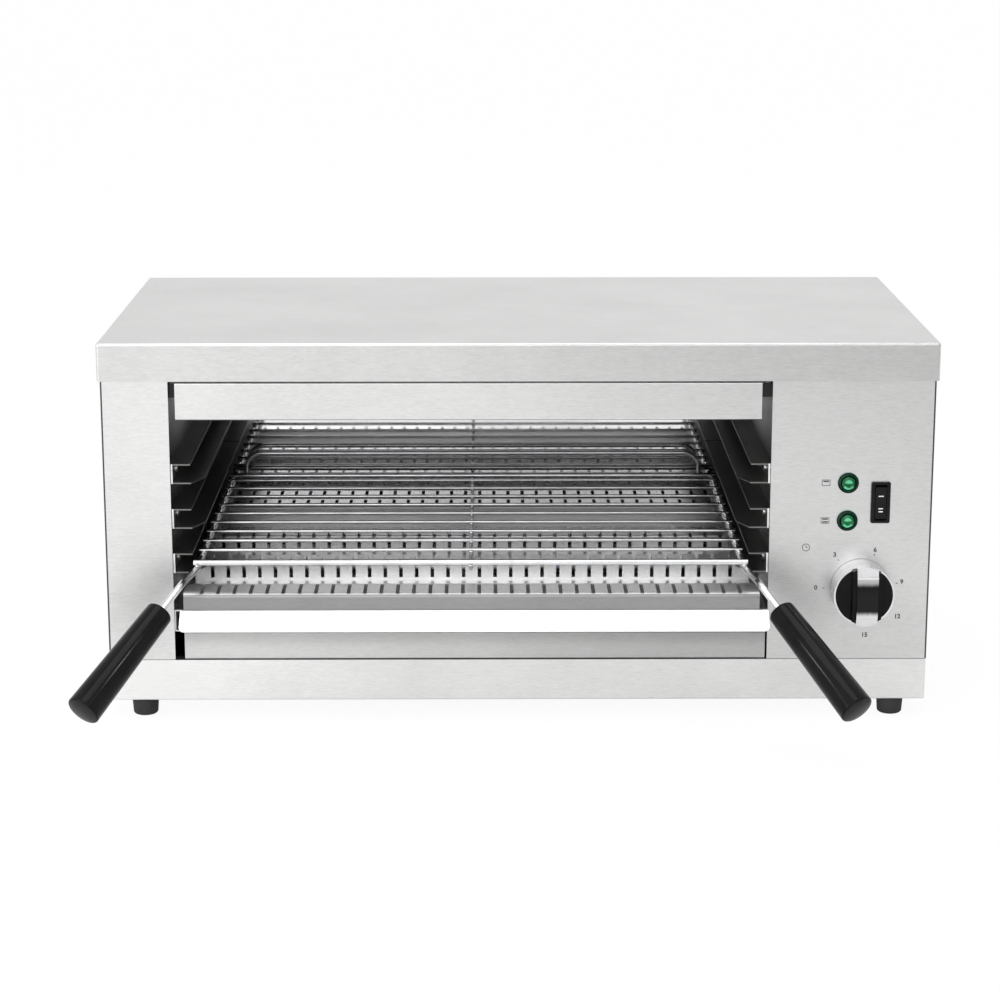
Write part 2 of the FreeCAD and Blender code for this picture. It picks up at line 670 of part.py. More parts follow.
def bent_wire(name, points, radii, radius):
    """A round wire that follows a smooth path."""
    path = smooth_wire(points, radii)
    start = points[0]
    way = points[1] - points[0]
    ring = Part.Wire([Part.Circle(start, way, radius).toShape()])
    item = doc.addObject("Part::Feature", name)
    item.Shape = path.makePipeShell([ring], True, True)
    return item


def top_cover():
    """The cover: a plate folded down on all four sides."""
    left = "-half_width - cover_out"
    width = "case_width + 2 * cover_out"
    depth = "case_depth + 2 * cover_out"
    corners = rectangle(left, "-cover_out", left + " + " + width,
                        "-cover_out + " + depth)
    cover = folded("top_cover", "XY_Plane", "cover_edge", "cover_drop", corners)
    top = number("case_height")

    def upper_or_upright(edge):
        on_top = all(abs(v.Point.z - top) < NEAR for v in edge.Vertexes)
        return on_top or straight_along(edge, 2)

    round_edges(cover, "cover_bends", upper_or_upright, "cover_bend")
    inner = rectangle("-half_width - cover_gap", "-cover_gap",
                      "half_width + cover_gap", "case_depth + cover_gap")
    pocket_both_ways(cover, "cover_hollow", "XY_Plane", "cover_edge",
                     "2 * (cover_drop - cover_sheet)", [inner])
    screw_holes = [
        (place, "case_height - cover_screw_drop", "screw_radius")
        for place in ("cover_screw_inset", "case_depth - cover_screw_inset")
    ]
    pocket_both_ways(cover, "cover_holes", "YZ_Plane", "0",
                     "case_width + 2 * cover_out + overrun", [], screw_holes)
    finish(cover, "top_cover")


def base_pan():
    """The base: a pan with an inward lip, on four feet."""
    corners = rectangle("-half_width", "0", "half_width", "case_depth")
    pan = folded("base_pan", "XY_Plane", "foot_height", "base_height", corners)
    floor = number("foot_height")

    def lower_or_upright(edge):
        at_floor = all(abs(v.Point.z - floor) < NEAR for v in edge.Vertexes)
        return at_floor or straight_along(edge, 2)

    round_edges(pan, "pan_bends", lower_or_upright, "base_bend")
    hollow = rectangle("-half_width + sheet", "sheet",
                       "half_width - sheet", "case_depth - sheet")
    middle = "(base_floor + base_top - sheet) / 2"
    pocket_both_ways(pan, "pan_hollow", "XY_Plane", middle,
                     "base_height - 2 * sheet", [hollow])
    mouth = rectangle("-half_width + base_lip", "base_lip",
                      "half_width - base_lip", "case_depth - base_lip")
    pocket_both_ways(pan, "pan_mouth", "XY_Plane", "base_top",
                     "2 * (sheet + overrun)", [mouth])
    holes = [(x, y, "foot_bolt_radius + bore_clearance")
             for x, y in foot_spots()]
    pocket_both_ways(pan, "pan_holes", "XY_Plane", "foot_height",
                     "2 * (sheet + overrun)", [], holes)
    finish(pan, "base_pan")


def foot_spots():
    """The X and Y of the four feet."""
    spots = []
    for x in ("-half_width + foot_inset", "half_width - foot_inset"):
        for y in ("foot_setback", "case_depth - foot_setback"):
            spots.append((x, y))
    return spots


def feet_and_bolts():
    """Four rubber feet, each with its bolt."""
    feet = []
    bolts = []
    for index, (x, y) in enumerate(foot_spots(), start=1):
        cone = doc.addObject("Part::Cone", f"foot{index}_cone")
        bind(cone, Radius1="foot_tip_radius", Radius2="foot_radius",
             Height="foot_height")
        bind_place(cone, x, y, "0")
        hole = cylinder(f"foot{index}_hole", "Z", x, y,
                        "foot_height - foot_bore_depth",
                        "foot_bolt_radius + bore_clearance",
                        "foot_bore_depth + overrun")
        feet.append(cut(f"foot{index}", cone, [hole]))
        steps = [
            ("foot_bolt_radius", "foot_height - foot_bolt_grip",
             "foot_bolt_grip + sheet + foot_bolt_head_height"),
            ("foot_bolt_head", "base_floor", "foot_bolt_head_height"),
        ]
        bolts.append(stack(f"foot_bolt{index}", "Z", (x, y, "0"), steps))
    finish(gather("feet", feet), "feet")
    finish(gather("foot_bolts", bolts), "foot_bolts")


def side_panels():
    """The two side panels, folded in at the front and the back."""
    for side, sign in (("left", "-1"), ("right", "1")):
        outer = f"{sign} * half_width"
        inner = f"{sign} * (half_width - sheet)"
        fold = f"{sign} * (half_width - sheet - side_flange)"
        corners = [
            (outer, "0"), (inner, "0"), (inner, "sheet"), (fold, "sheet"),
            (fold, "2 * sheet"), (inner, "2 * sheet"),
            (inner, "back_face - sheet"), (fold, "back_face - sheet"),
            (fold, "back_face"), (inner, "back_face"),
            (inner, "case_depth"), (outer, "case_depth"),
        ]
        name = side + "_side_panel"
        panel = folded(name, "XY_Plane", "panel_bottom",
                       "panel_top - panel_bottom", corners)
        holes = [
            (place, "case_height - cover_screw_drop", "screw_radius")
            for place in ("cover_screw_inset", "case_depth - cover_screw_inset")
        ]
        outlines = []
        pocket_both_ways(panel, side + "_panel_holes", "YZ_Plane", outer,
                         "2 * (sheet + overrun)", outlines, holes)
        back_holes = [(f"{sign} * (half_width - back_screw_inset)", z,
                       "screw_radius") for z in back_screw_heights()]
        pocket_both_ways(panel, side + "_flange_holes", "XZ_Plane",
                         "back_face", "2 * (sheet + overrun)", [], back_holes)
        if side == "right":
            slot = rectangle("side_vent_place", "vent_height - vent_length / 2",
                             "side_vent_place + vent_width",
                             "vent_height + vent_length / 2")
            vent = pocket_both_ways(panel, "side_vent", "YZ_Plane", outer,
                                    "2 * (sheet + overrun)", [slot])
            repeat(panel, "side_vents", vent, "Y_Axis", "vent_pitch",
                   "vent_count")
        finish(panel, name)


def front_panels():
    """The plain panel on the left and the control panel on the right."""
    left = folded("left_front_panel", "XZ_Plane", "0", "sheet",
                  rectangle("-panel_edge", "panel_bottom", "cavity_left",
                            "panel_top"))
    finish(left, "left_front_panel")
    right = folded("control_panel", "XZ_Plane", "0", "sheet",
                   rectangle("cavity_right", "panel_bottom", "panel_edge",
                             "panel_top"))
    switch = rectangle(
        "rocker_place - switch_width / 2 - switch_clearance",
        "rocker_height - switch_height / 2 - switch_clearance",
        "rocker_place + switch_width / 2 + switch_clearance",
        "rocker_height + switch_height / 2 + switch_clearance",
    )
    circles = [
        ("knob_place", "knob_height", "shaft_radius + shaft_hole_clearance"),
        ("knob_place - timer_screw_pitch / 2", "knob_height", "screw_radius"),
        ("knob_place + timer_screw_pitch / 2", "knob_height", "screw_radius"),
        ("lamp_place", "upper_lamp_height", "lamp_body_radius"),
        ("lamp_place", "lower_lamp_height", "lamp_body_radius"),
    ]
    pocket_both_ways(right, "control_holes", "XZ_Plane", "0",
                     "2 * (sheet + overrun)", [switch], circles)
    finish(right, "control_panel")


def back_screw_heights():
    """The Z of the three screws on each side of the back."""
    return [f"back_screw_start + {step} * back_screw_pitch"
            for step in range(3)]


def back_panel():
    """The back panel, with its air slots and its holes."""
    panel = folded("back_panel", "XZ_Plane", "back_face", "sheet",
                   rectangle("-panel_edge", "panel_bottom", "panel_edge",
                             "panel_top"))
    holes = []
    for sign in ("-1", "1"):
        for z in back_screw_heights():
            across = f"{sign} * (half_width - back_screw_inset)"
            holes.append((across, z, "screw_radius"))
    holes.append(("gland_place", "gland_height", "gland_neck"))
    holes.append(("earth_place", "gland_height", "earth_radius"))
    pocket_both_ways(panel, "back_holes", "XZ_Plane", "back_face",
                     "2 * (sheet + overrun)", [], holes)
    slot = rectangle("back_vent_place", "vent_height - vent_length / 2",
                     "back_vent_place + vent_width",
                     "vent_height + vent_length / 2")
    vent = pocket_both_ways(panel, "back_vent", "XZ_Plane", "back_face",
                            "2 * (sheet + overrun)", [slot])
    repeat(panel, "back_vents", vent, "X_Axis", "vent_pitch", "vent_count")
    finish(panel, "back_panel")


def element_spots():
    """The Y and Z of the upper and of the lower elements."""
    upper = []
    for index in range(round(number("upper_element_count"))):
        place = f"upper_element_inset + {index} * upper_element_pitch"
        upper.append((place, "upper_element_height"))
    lower = [
        ("front_tunnel + tunnel_width / 2", "lower_element_height"),
        ("rear_tunnel + tunnel_width / 2", "lower_element_height"),
    ]
    return upper, lower


def cavity_walls():
    """The side walls, back reflector, roof and insulation."""
    upper, lower = element_spots()
    holes = [(y, z, "bush_radius") for y, z in upper + lower]
    for height_step in range(3):
        for y in runner_screw_places():
            holes.append((y, runner_screw_height(height_step), "screw_radius"))
    for side, edge, sign in (
        ("left", "cavity_left", "-1"), ("right", "cavity_right", "1"),
    ):
        outer = f"{edge} + {sign} * sheet"
        fold = f"{edge} + {sign} * wall_flange"
        corners = [
            (edge, "sheet"), (fold, "sheet"), (fold, "2 * sheet"),
            (outer, "2 * sheet"), (outer, "cavity_depth - sheet"),
            (fold, "cavity_depth - sheet"), (fold, "cavity_depth"),
            (edge, "cavity_depth"),
        ]
        name = f"cavity_{side}_wall"
        wall = folded(name, "XY_Plane", "base_top", "roof_under - base_top",
                      corners)
        pocket_both_ways(wall, name + "_holes", "YZ_Plane", edge,
                         "2 * (sheet + overrun)", [], holes)
        finish(wall, name)
    reflector = folded("cavity_back_wall", "XZ_Plane", "cavity_depth", "sheet",
                       rectangle("roof_left", "base_top", "roof_right",
                                 "roof_under"))
    finish(reflector, "cavity_back_wall")
    roof_back = "cavity_depth + 2 * sheet"
    corners = [
        ("sheet", "roof_under"), ("cavity_depth + sheet", "roof_under"),
        ("cavity_depth + sheet", "roof_under - roof_fold"),
        (roof_back, "roof_under - roof_fold"),
        (roof_back, "roof_top", "strip_bend"), ("sheet", "roof_top"),
    ]
    roof = folded("cavity_roof", "YZ_Plane", "roof_left",
                  "roof_right - roof_left", corners)
    finish(roof, "cavity_roof")
    pad = box("roof_insulation", "roof_left + pad_inset", "sheet + pad_inset",
              "roof_top", "roof_right - roof_left - 2 * pad_inset",
              "cavity_depth - 2 * pad_inset", "pad_thickness")
    finish(pad, "roof_insulation")


def front_strip(front, back, bottom, top):
    """The corners of a strip that is folded back above and below."""
    behind = f"{front} + sheet"
    return [
        (front, bottom, "strip_bend"), (back, bottom),
        (back, f"{bottom} + sheet"), (behind, f"{bottom} + sheet"),
        (behind, f"{top} - sheet"), (back, f"{top} - sheet"),
        (back, top), (front, top, "strip_bend"),
    ]


def front_strips():
    """The strip above the opening, its brackets and the lower panel."""
    corners = front_strip("fascia_setback", "fascia_back + fascia_fold",
                          "fascia_bottom", "fascia_top")
    fascia = folded("upper_fascia", "YZ_Plane", "fascia_left",
                    "fascia_right - fascia_left", corners)
    finish(fascia, "upper_fascia")
    brackets = []
    bottom = "fascia_top - sheet - corner_gap - bracket_height"
    for side, tab, leaf in (
        ("left", "cavity_left", "cavity_left"),
        ("right", "cavity_right - bracket_length", "cavity_right - sheet"),
    ):
        parts = [
            box(side + "_bracket_tab", tab, "fascia_back", bottom,
                "bracket_length", "sheet", "bracket_height"),
            box(side + "_bracket_leaf", leaf, "fascia_back", bottom,
                "sheet", "bracket_depth", "bracket_height"),
        ]
        brackets.append(fuse(side + "_bracket", parts))
    finish(gather("fascia_brackets", brackets), "fascia_brackets")
    corners = front_strip("lower_setback", "lower_setback + lower_fold",
                          "panel_bottom", "lower_top")
    lower = folded("lower_front_panel", "YZ_Plane", "lower_left",
                   "lower_right - lower_left", corners)
    finish(lower, "lower_front_panel")


def channel(edge, sign, bottom, height, shelf, cap):
    """The corners of a channel on a wall: web, lower and upper flange."""
    web = f"{edge} + {sign} * sheet"
    low = f"{edge} + {sign} * {shelf}"
    high = f"{edge} + {sign} * {cap}"
    top = f"{bottom} + {height}"
    return [
        (edge, bottom), (low, bottom), (low, f"{bottom} + sheet"),
        (web, f"{bottom} + sheet"), (web, f"{top} - sheet"),
        (high, f"{top} - sheet"), (high, top), (edge, top),
    ]


def lower_rails():
    """The two rails that carry the element guard and the crumb tray."""
    for side, edge, sign in (
        ("left", "cavity_left", "1"), ("right", "cavity_right", "-1"),
    ):
        name = side + "_lower_rail"
        corners = channel(edge, sign, "rail_bottom", "rail_height",
                          "rail_shelf", "rail_shelf")
        rail = folded(name, "XZ_Plane", "rail_setback",
                      "rail_end - rail_setback", corners)
        finish(rail, name)


def runner_screw_places():
    """The Y of the two screws of a runner."""
    return ["rail_setback + runner_screw_inset",
            "rail_end - runner_screw_inset"]


def runner_screw_height(step):
    """The Z of a runner's screws, counted from the lowest runner."""
    return f"runner_bottom + {step} * runner_pitch + runner_height / 2"


def runners():
    """Three runners on each wall, with their screws."""
    levels = ("low", "middle", "high")
    screws = []
    for side, edge, sign in (
        ("left", "cavity_left", "1"), ("right", "cavity_right", "-1"),
    ):
        for step, level in enumerate(levels):
            name = f"{side}_{level}_runner"
            bottom = f"runner_bottom + {step} * runner_pitch"
            corners = channel(edge, sign, bottom, "runner_height",
                              "runner_shelf", "runner_cap")
            runner = folded(name, "XZ_Plane", "rail_setback",
                            "rail_end - rail_setback", corners)
            taper = [
                (f"{edge} + {sign} * (runner_shelf - runner_taper)",
                 "rail_setback - overrun"),
                (f"{edge} + {sign} * (runner_shelf + overrun)",
                 "rail_setback - overrun"),
                (f"{edge} + {sign} * (runner_shelf + overrun)",
                 "rail_setback + runner_taper_length"),
                (f"{edge} + {sign} * runner_shelf",
                 "rail_setback + runner_taper_length"),
                (f"{edge} + {sign} * (runner_shelf - runner_taper)",
                 "rail_setback"),
            ]
            pocket_both_ways(runner, name + "_taper", "XY_Plane", bottom,
                             "2 * (sheet + overrun)", [taper])
            holes = [(y, runner_screw_height(step), "screw_radius")
                     for y in runner_screw_places()]
            pocket_both_ways(runner, name + "_holes", "YZ_Plane", edge,
                             "2 * (sheet + overrun)", [], holes)
            finish(runner, name)
            for y in runner_screw_places():
                spot = ("0", y, runner_screw_height(step))
                number_of_screw = len(screws) + 1
                screws.append(pan_screw(f"runner_screw{number_of_screw}", "X",
                                        spot, f"{edge} + {sign} * sheet", sign))
    finish(gather("runner_screws", screws), "runner_screws")


def pan_screw(name, axis, at, seat, sign):
    """A small screw whose head sits on a seat.

    sign is 1 where the head points along the axis, and -1 where it
    points back.
    """
    if sign == "1":
        head_start = seat
        shank_start = f"{seat} - screw_length"
    else:
        head_start = f"{seat} - screw_head"
        shank_start = f"{seat}"
    steps = [
        ("screw_radius", shank_start, "screw_length"),
        ("screw_head_radius", head_start, "screw_head"),
    ]
    body = stack(name, axis, at, steps)
    index = "XYZ".index(axis)
    crown = number(f"{seat} + {sign} * screw_head")

    def crown_edge(edge):
        return abs(edge.CenterOfMass[index] - crown) < NEAR

    return rounded(body, name + "_screw", crown_edge, "screw_round")


def case_screws():
    """The screws of the cover and of the back panel."""
    cover = []
    for sign in ("-1", "1"):
        for y in ("cover_screw_inset", "case_depth - cover_screw_inset"):
            spot = ("0", y, "case_height - cover_screw_drop")
            seat = f"{sign} * (half_width + cover_out)"
            name = f"cover_screw{len(cover) + 1}"
            cover.append(pan_screw(name, "X", spot, seat, sign))
    finish(gather("cover_screws", cover), "cover_screws")
    back = []
    for sign in ("-1", "1"):
        for z in back_screw_heights():
            x = f"{sign} * (half_width - back_screw_inset)"
            name = f"back_screw{len(back) + 1}"
            back.append(pan_screw(name, "Y", (x, "0", z), "case_depth", "1"))
    finish(gather("back_screws", back), "back_screws")


def lower_guard():
    """The slotted guard over the lower elements."""
    floor_under = "guard_floor - sheet"
    top_under = "guard_top - sheet"
    rises = [("front_tunnel", "front_tunnel + tunnel_width"),
             ("rear_tunnel", "rear_tunnel + tunnel_width")]
    upper = [
        ("guard_setback", floor_under),
        ("guard_setback", "guard_top", "guard_nose"),
        ("front_ledge", "guard_top", "guard_bend"),
        ("front_ledge", "guard_floor"),
    ]
    for front, back in rises:
        upper += [
            (front, "guard_floor"), (front, "guard_top", "guard_bend"),
            (back, "guard_top", "guard_bend"), (back, "guard_floor"),
        ]
    upper += [
        ("rear_ledge", "guard_floor"),
        ("rear_ledge", "guard_top", "guard_bend"),
        ("guard_end", "guard_top"),
    ]
    under = [
        ("guard_end", top_under),
        ("rear_ledge + sheet", top_under),
        ("rear_ledge + sheet", floor_under),
    ]
    for front, back in reversed(rises):
        under += [
            (f"{back} - sheet", floor_under), (f"{back} - sheet", top_under),
            (f"{front} + sheet", top_under), (f"{front} + sheet", floor_under),
        ]
    under += [
        ("front_ledge - sheet", floor_under),
        ("front_ledge - sheet", top_under),
        ("guard_setback + sheet", top_under, "guard_nose - sheet"),
        ("guard_setback + sheet", floor_under),
    ]
    guard = folded("lower_guard", "YZ_Plane", "guard_left",
                   "guard_right - guard_left", upper + under)
    above = "guard_top + overrun"
    slots = [
        rectangle("guard_setback - overrun", "nose_end",
                  "front_ledge - ledge_web", above),
        rectangle("rear_ledge + ledge_web", top_under + " - sheet",
                  "guard_end - ledge_web", above),
    ]
    for front, back in rises:
        slots.append(rectangle(f"{front} - overrun", "slot_bottom",
                               f"{back} + overrun", above))
    slot = pocket_both_ways(guard, "guard_slot", "YZ_Plane", "slot_start",
                            "slot_width", slots)
    repeat(guard, "guard_slots", slot, "X_Axis", "slot_pitch", "slot_count")
    finish(guard, "lower_guard")


def elements():
    """The heating elements, their insulators and hangers."""
    upper, lower = element_spots()
    left = "cavity_left - element_overhang"
    length = "opening_width + 2 * element_overhang"
    for level, spots in (("upper", upper), ("lower", lower)):
        rods = []
        bushes = []
        for index, (y, z) in enumerate(spots, start=1):
            steps = [
                ("element_radius", left, length),
                ("stud_radius", f"{left} - stud_length",
                 f"{length} + 2 * stud_length"),
            ]
            name = f"{level}_element{index}"
            rods.append(stack(name, "X", ("0", y, z), steps))
            for side, sign in (("left", "-1"), ("right", "1")):
                edge = "cavity_" + side
                bushes.append(insulator(f"{name}_{side}_bush", edge, sign,
                                        y, z))
        finish(gather(level + "_elements", rods), level + "_elements")
        finish(gather(level + "_insulators", bushes), level + "_insulators")
    hangers = []
    for index, (y, z) in enumerate(upper, start=1):
        plate = box(f"hanger{index}_plate", "cavity_middle",
                    f"{y} - hanger_width / 2", f"{z} - hanger_foot", "sheet",
                    "hanger_width", f"roof_under - ({z} - hanger_foot)")
        hole = cylinder(f"hanger{index}_hole", "X", "cavity_middle - overrun",
                        y, z, "element_radius + bore_clearance",
                        "sheet + 2 * overrun")
        hangers.append(cut(f"hanger{index}", plate, [hole]))
    finish(gather("upper_element_hangers", hangers), "upper_element_hangers")


def insulator(name, edge, sign, y, z):
    """A ceramic bush in a cavity wall, with its flange outside."""
    outer = f"({edge} + {sign} * sheet)"
    nose = f"({edge} - {sign} * bush_nose)"
    flange = f"({outer} + {sign} * bush_flange)"
    low_nose, high_nose = (outer, nose) if sign == "-1" else (nose, outer)
    low_flange = flange if sign == "-1" else outer
    steps = [
        ("bush_radius", low_nose, f"{high_nose} - {low_nose}"),
        ("bush_flange_radius", low_flange, "bush_flange"),
    ]
    low_end = flange if sign == "-1" else nose
    bore = ("element_radius + bore_clearance", f"{low_end} - overrun",
            "sheet + bush_nose + bush_flange + 2 * overrun")
    return stack(name, "X", ("0", y, z), steps, bore)


def rack():
    """The wire rack with its rear stop and its two handles."""
    wire_left = "cavity_middle - rack_width / 2"
    front = cylinder("rack_front_wire", "X", wire_left, "front_wire_place",
                     "frame_wire_height", "frame_wire_radius", "rack_width")
    finish(front, "rack_front_wire")
    rear = cylinder("rack_rear_wire", "X", wire_left, "rear_wire_place",
                    "frame_wire_height", "frame_wire_radius", "rack_width")
    finish(rear, "rack_rear_wire")
    wires = []
    for index in range(round(number("cross_wire_count"))):
        y = f"first_cross_wire + {index} * cross_wire_pitch"
        wires.append(cylinder(f"cross_wire{index + 1}", "X", wire_left, y,
                              "cross_wire_height", "cross_wire_radius",
                              "rack_width"))
    finish(gather("rack_cross_wires", wires), "rack_cross_wires")
    centre = cylinder("rack_centre_wire", "Y", "cavity_middle",
                      "front_wire_place - wire_overhang",
                      "centre_wire_height", "cross_wire_radius",
                      "rear_wire_place - front_wire_place + 2 * wire_overhang")
    finish(centre, "rack_centre_wire")
    rack_stop()
    for side, sign in (("left", -1), ("right", 1)):
        handle(side, sign)


def rack_stop():
    """The low loop that stands on the rear wire."""
    middle = number("cavity_middle")
    half = number("stop_half")
    y = number("rear_wire_place")
    foot = number("stop_foot")
    top = foot + number("stop_height - stop_radius")
    points = [
        FreeCAD.Vector(middle - half, y, foot),
        FreeCAD.Vector(middle - half, y, top),
        FreeCAD.Vector(middle + half, y, top),
        FreeCAD.Vector(middle + half, y, foot),
    ]
    bend = number("stop_bend")
    loop = bent_wire("rack_stop_loop", points, [bend, bend],
                     number("stop_radius"))
    finish(loop, "rack_stop_loop")


def handle(side, sign):
    """A rack rod that runs forward into its handle, and the grip."""
    middle = number("cavity_middle")
    straight = middle + sign * number("rod_side")
    spread = middle + sign * number("rod_side + handle_spread")
    height = number("rod_height")
    droop = math.radians(number("grip_droop_angle"))
    splay = math.radians(number("grip_splay_angle"))
    way = FreeCAD.Vector(
        sign * math.sin(splay) * math.cos(droop),
        -math.cos(splay) * math.cos(droop),
        -math.sin(droop),
    )
    bend = FreeCAD.Vector(spread, -number("handle_reach"), height)
    neck = bend + way * number("handle_neck")
    points = [
        FreeCAD.Vector(straight, number("rod_end"), height),
        FreeCAD.Vector(straight, number("front_wire_place + spread_start"),
                       height),
        bend,
        neck + way * number("rod_insertion"),
    ]
    radii = [number("spread_bend"), number("handle_bend")]
    rod = bent_wire(f"rack_{side}_rod", points, radii, number("rod_radius"))
    finish(rod, f"rack_{side}_rod")
    name = side + "_grip"
    body = doc.addObject("PartDesign::Body", name)
    sketch = sketch_on(body, name + "_outline", "XZ_Plane", "0")
    bore = "rod_radius + bore_clearance"
    draw_outline(sketch, [
        (bore, "0"), ("grip_neck_radius", "0"),
        ("grip_end_radius", "grip_length"), ("0", "grip_length"),
        ("0", "grip_bore_depth"), (bore, "grip_bore_depth"),
    ])
    turned = body.newObject("PartDesign::Revolution", name + "_turned")
    turned.Profile = sketch
    turned.ReferenceAxis = (sketch, ["V_Axis"])
    doc.recompute()
    length = number("grip_length")
    neck_radius = number("grip_neck_radius")

    def neck_edge(edge):
        return (abs(edge.BoundBox.ZMax) < NEAR
                and edge.BoundBox.XMax > neck_radius - NEAR)

    def free_edge(edge):
        return (edge.BoundBox.ZMin > length - NEAR
                and edge.BoundBox.XMax > neck_radius)

    round_edges(body, name + "_end", free_edge, "grip_end_round")
    round_edges(body, name + "_neck", neck_edge, "grip_neck_round")
    turn = FreeCAD.Rotation(AXES["Z"], way)
    body.Placement = FreeCAD.Placement(neck, turn)
    finish(body, name)


def crumb_tray():
    """The sliding crumb tray, with a sloping lip to pull."""
    corners = [
        ("tray_front", "tray_bottom"), ("tray_back", "tray_bottom"),
        ("tray_back", "tray_bottom + tray_wall"),
        ("tray_back - tray_sheet", "tray_bottom + tray_wall"),
        ("tray_back - tray_sheet", "tray_floor"),
        ("tray_front + tray_sheet", "tray_floor"),
        ("tray_front + tray_sheet", "lip_top"), ("tray_front", "lip_top"),
    ]
    pan = folded("tray_pan", "YZ_Plane", "tray_left", "tray_width", corners)
    sides = [
        box(f"tray_{side}_side", x, "tray_front", "tray_bottom", "tray_sheet",
            "tray_back - tray_front", "tray_wall")
        for side, x in (
            ("left", "tray_left"),
            ("right", "tray_left + tray_width - tray_sheet"),
        )
    ]
    low_y = "tray_front - lip_reach"
    low_z = "lip_top - lip_fall"
    corners = [
        ("tray_front", "lip_top"), (low_y, low_z),
        (f"{low_y} + lip_under_y", f"{low_z} - lip_under_z"),
        ("tray_front + lip_under_y", "lip_top - lip_under_z"),
    ]
    lip = folded("tray_lip", "YZ_Plane", "tray_middle - lip_width / 2",
                 "lip_width", corners)
    edge_z = number(f"{low_z} - lip_under_z / 2")

    def lower_corner(edge):
        return (abs(edge.CenterOfMass.z - edge_z) < NEAR
                and edge.Length < 2 * number("tray_sheet"))

    round_edges(lip, "lip_corners", lower_corner, "lip_round")
    finish(fuse("crumb_tray", [pan, lip] + sides), "crumb_tray")


def timer():
    """The timer, its screws and shaft, and the knob with its insets."""
    body = box("timer_case", "knob_place - timer_width / 2", "sheet",
               "knob_height - timer_height / 2", "timer_width",
               "timer_depth", "timer_height")
    holes = [cylinder("timer_bore", "Y", "knob_place", "sheet - overrun",
                      "knob_height", "shaft_radius + bore_clearance",
                      "shaft_in_timer + 2 * overrun")]
    screws = []
    for index, sign in enumerate(("-1", "1"), start=1):
        x = f"knob_place + {sign} * timer_screw_pitch / 2"
        holes.append(cylinder(f"timer_hole{index}", "Y", x, "sheet - overrun",
                              "knob_height", "screw_radius",
                              "screw_length + overrun"))
        screws.append(pan_screw(f"timer_screw{index}", "Y",
                                (x, "0", "knob_height"), "0", "-1"))
    finish(cut("timer_body", body, holes), "timer_body")
    finish(gather("timer_screws", screws), "timer_screws")
    shaft = cylinder("timer_shaft", "Y", "knob_place",
                     "knob_back - shaft_in_knob", "knob_height",
                     "shaft_radius",
                     "knob_gap + shaft_in_knob + sheet + shaft_in_timer")
    finish(shaft, "timer_shaft")
    knob()


def knob():
    """The timer's knob: a round body with a grip bar across it."""
    disc = cylinder("knob_disc", "Y", "knob_place", "knob_front",
                    "knob_height", "knob_radius", "knob_depth")
    front = number("knob_front")

    def front_edge(edge):
        return abs(edge.CenterOfMass.y - front) < NEAR

    disc = rounded(disc, "knob_round", front_edge, "knob_edge_round")
    recess = cylinder("knob_recess", "Y", "knob_place",
                      "knob_front - overrun", "knob_height",
                      "knob_radius - knob_rim", "inset_depth + overrun")
    dish = cut("knob_dish", disc, [recess])
    left = "knob_place - knob_bar_width / 2"
    ends = ("knob_height - knob_radius", "knob_height + knob_radius")
    crest = ("knob_height - knob_bar_crest / 2",
             "knob_height + knob_bar_crest / 2")
    root = "knob_front + inset_depth"
    bar = folded("knob_bar", "YZ_Plane", left, "knob_bar_width", [
        (root, ends[0]), (root, ends[1]), ("knob_front", ends[1]),
        ("knob_crest", crest[1], "knob_bar_round"),
        ("knob_crest", crest[0], "knob_bar_round"), ("knob_front", ends[0]),
    ])
    outline = cylinder("knob_outline", "Y", "knob_place",
                       "knob_crest - overrun", "knob_height", "knob_radius",
                       "knob_depth + knob_bar_rise")
    trimmed = doc.addObject("Part::Common", "knob_trimmed_bar")
    trimmed.Base = bar
    trimmed.Tool = outline
    solid = fuse("knob_solid", [dish, trimmed])
    hollow = cylinder("knob_hollow", "Y", "knob_place",
                      "knob_back - knob_hollow_depth", "knob_height",
                      "knob_hollow_radius", "knob_hollow_depth + overrun")
    bore = cylinder("knob_bore", "Y", "knob_place",
                    "knob_back - shaft_in_knob", "knob_height",
                    "shaft_radius + bore_clearance",
                    "shaft_in_knob + overrun")
    finish(cut("timer_knob", solid, [hollow, bore]), "timer_knob")
    plate = cylinder("inset_plate", "Y", "knob_place", "knob_front",
                     "knob_height", "knob_radius - knob_rim - inset_gap",
                     "inset_depth")
    gap = box("inset_middle", f"{left} - inset_gap", "knob_front - overrun",
              "knob_height - knob_radius", "knob_bar_width + 2 * inset_gap",
              "inset_depth + 2 * overrun", "2 * knob_radius")
    finish(cut("knob_insets", plate, [gap]), "knob_insets")


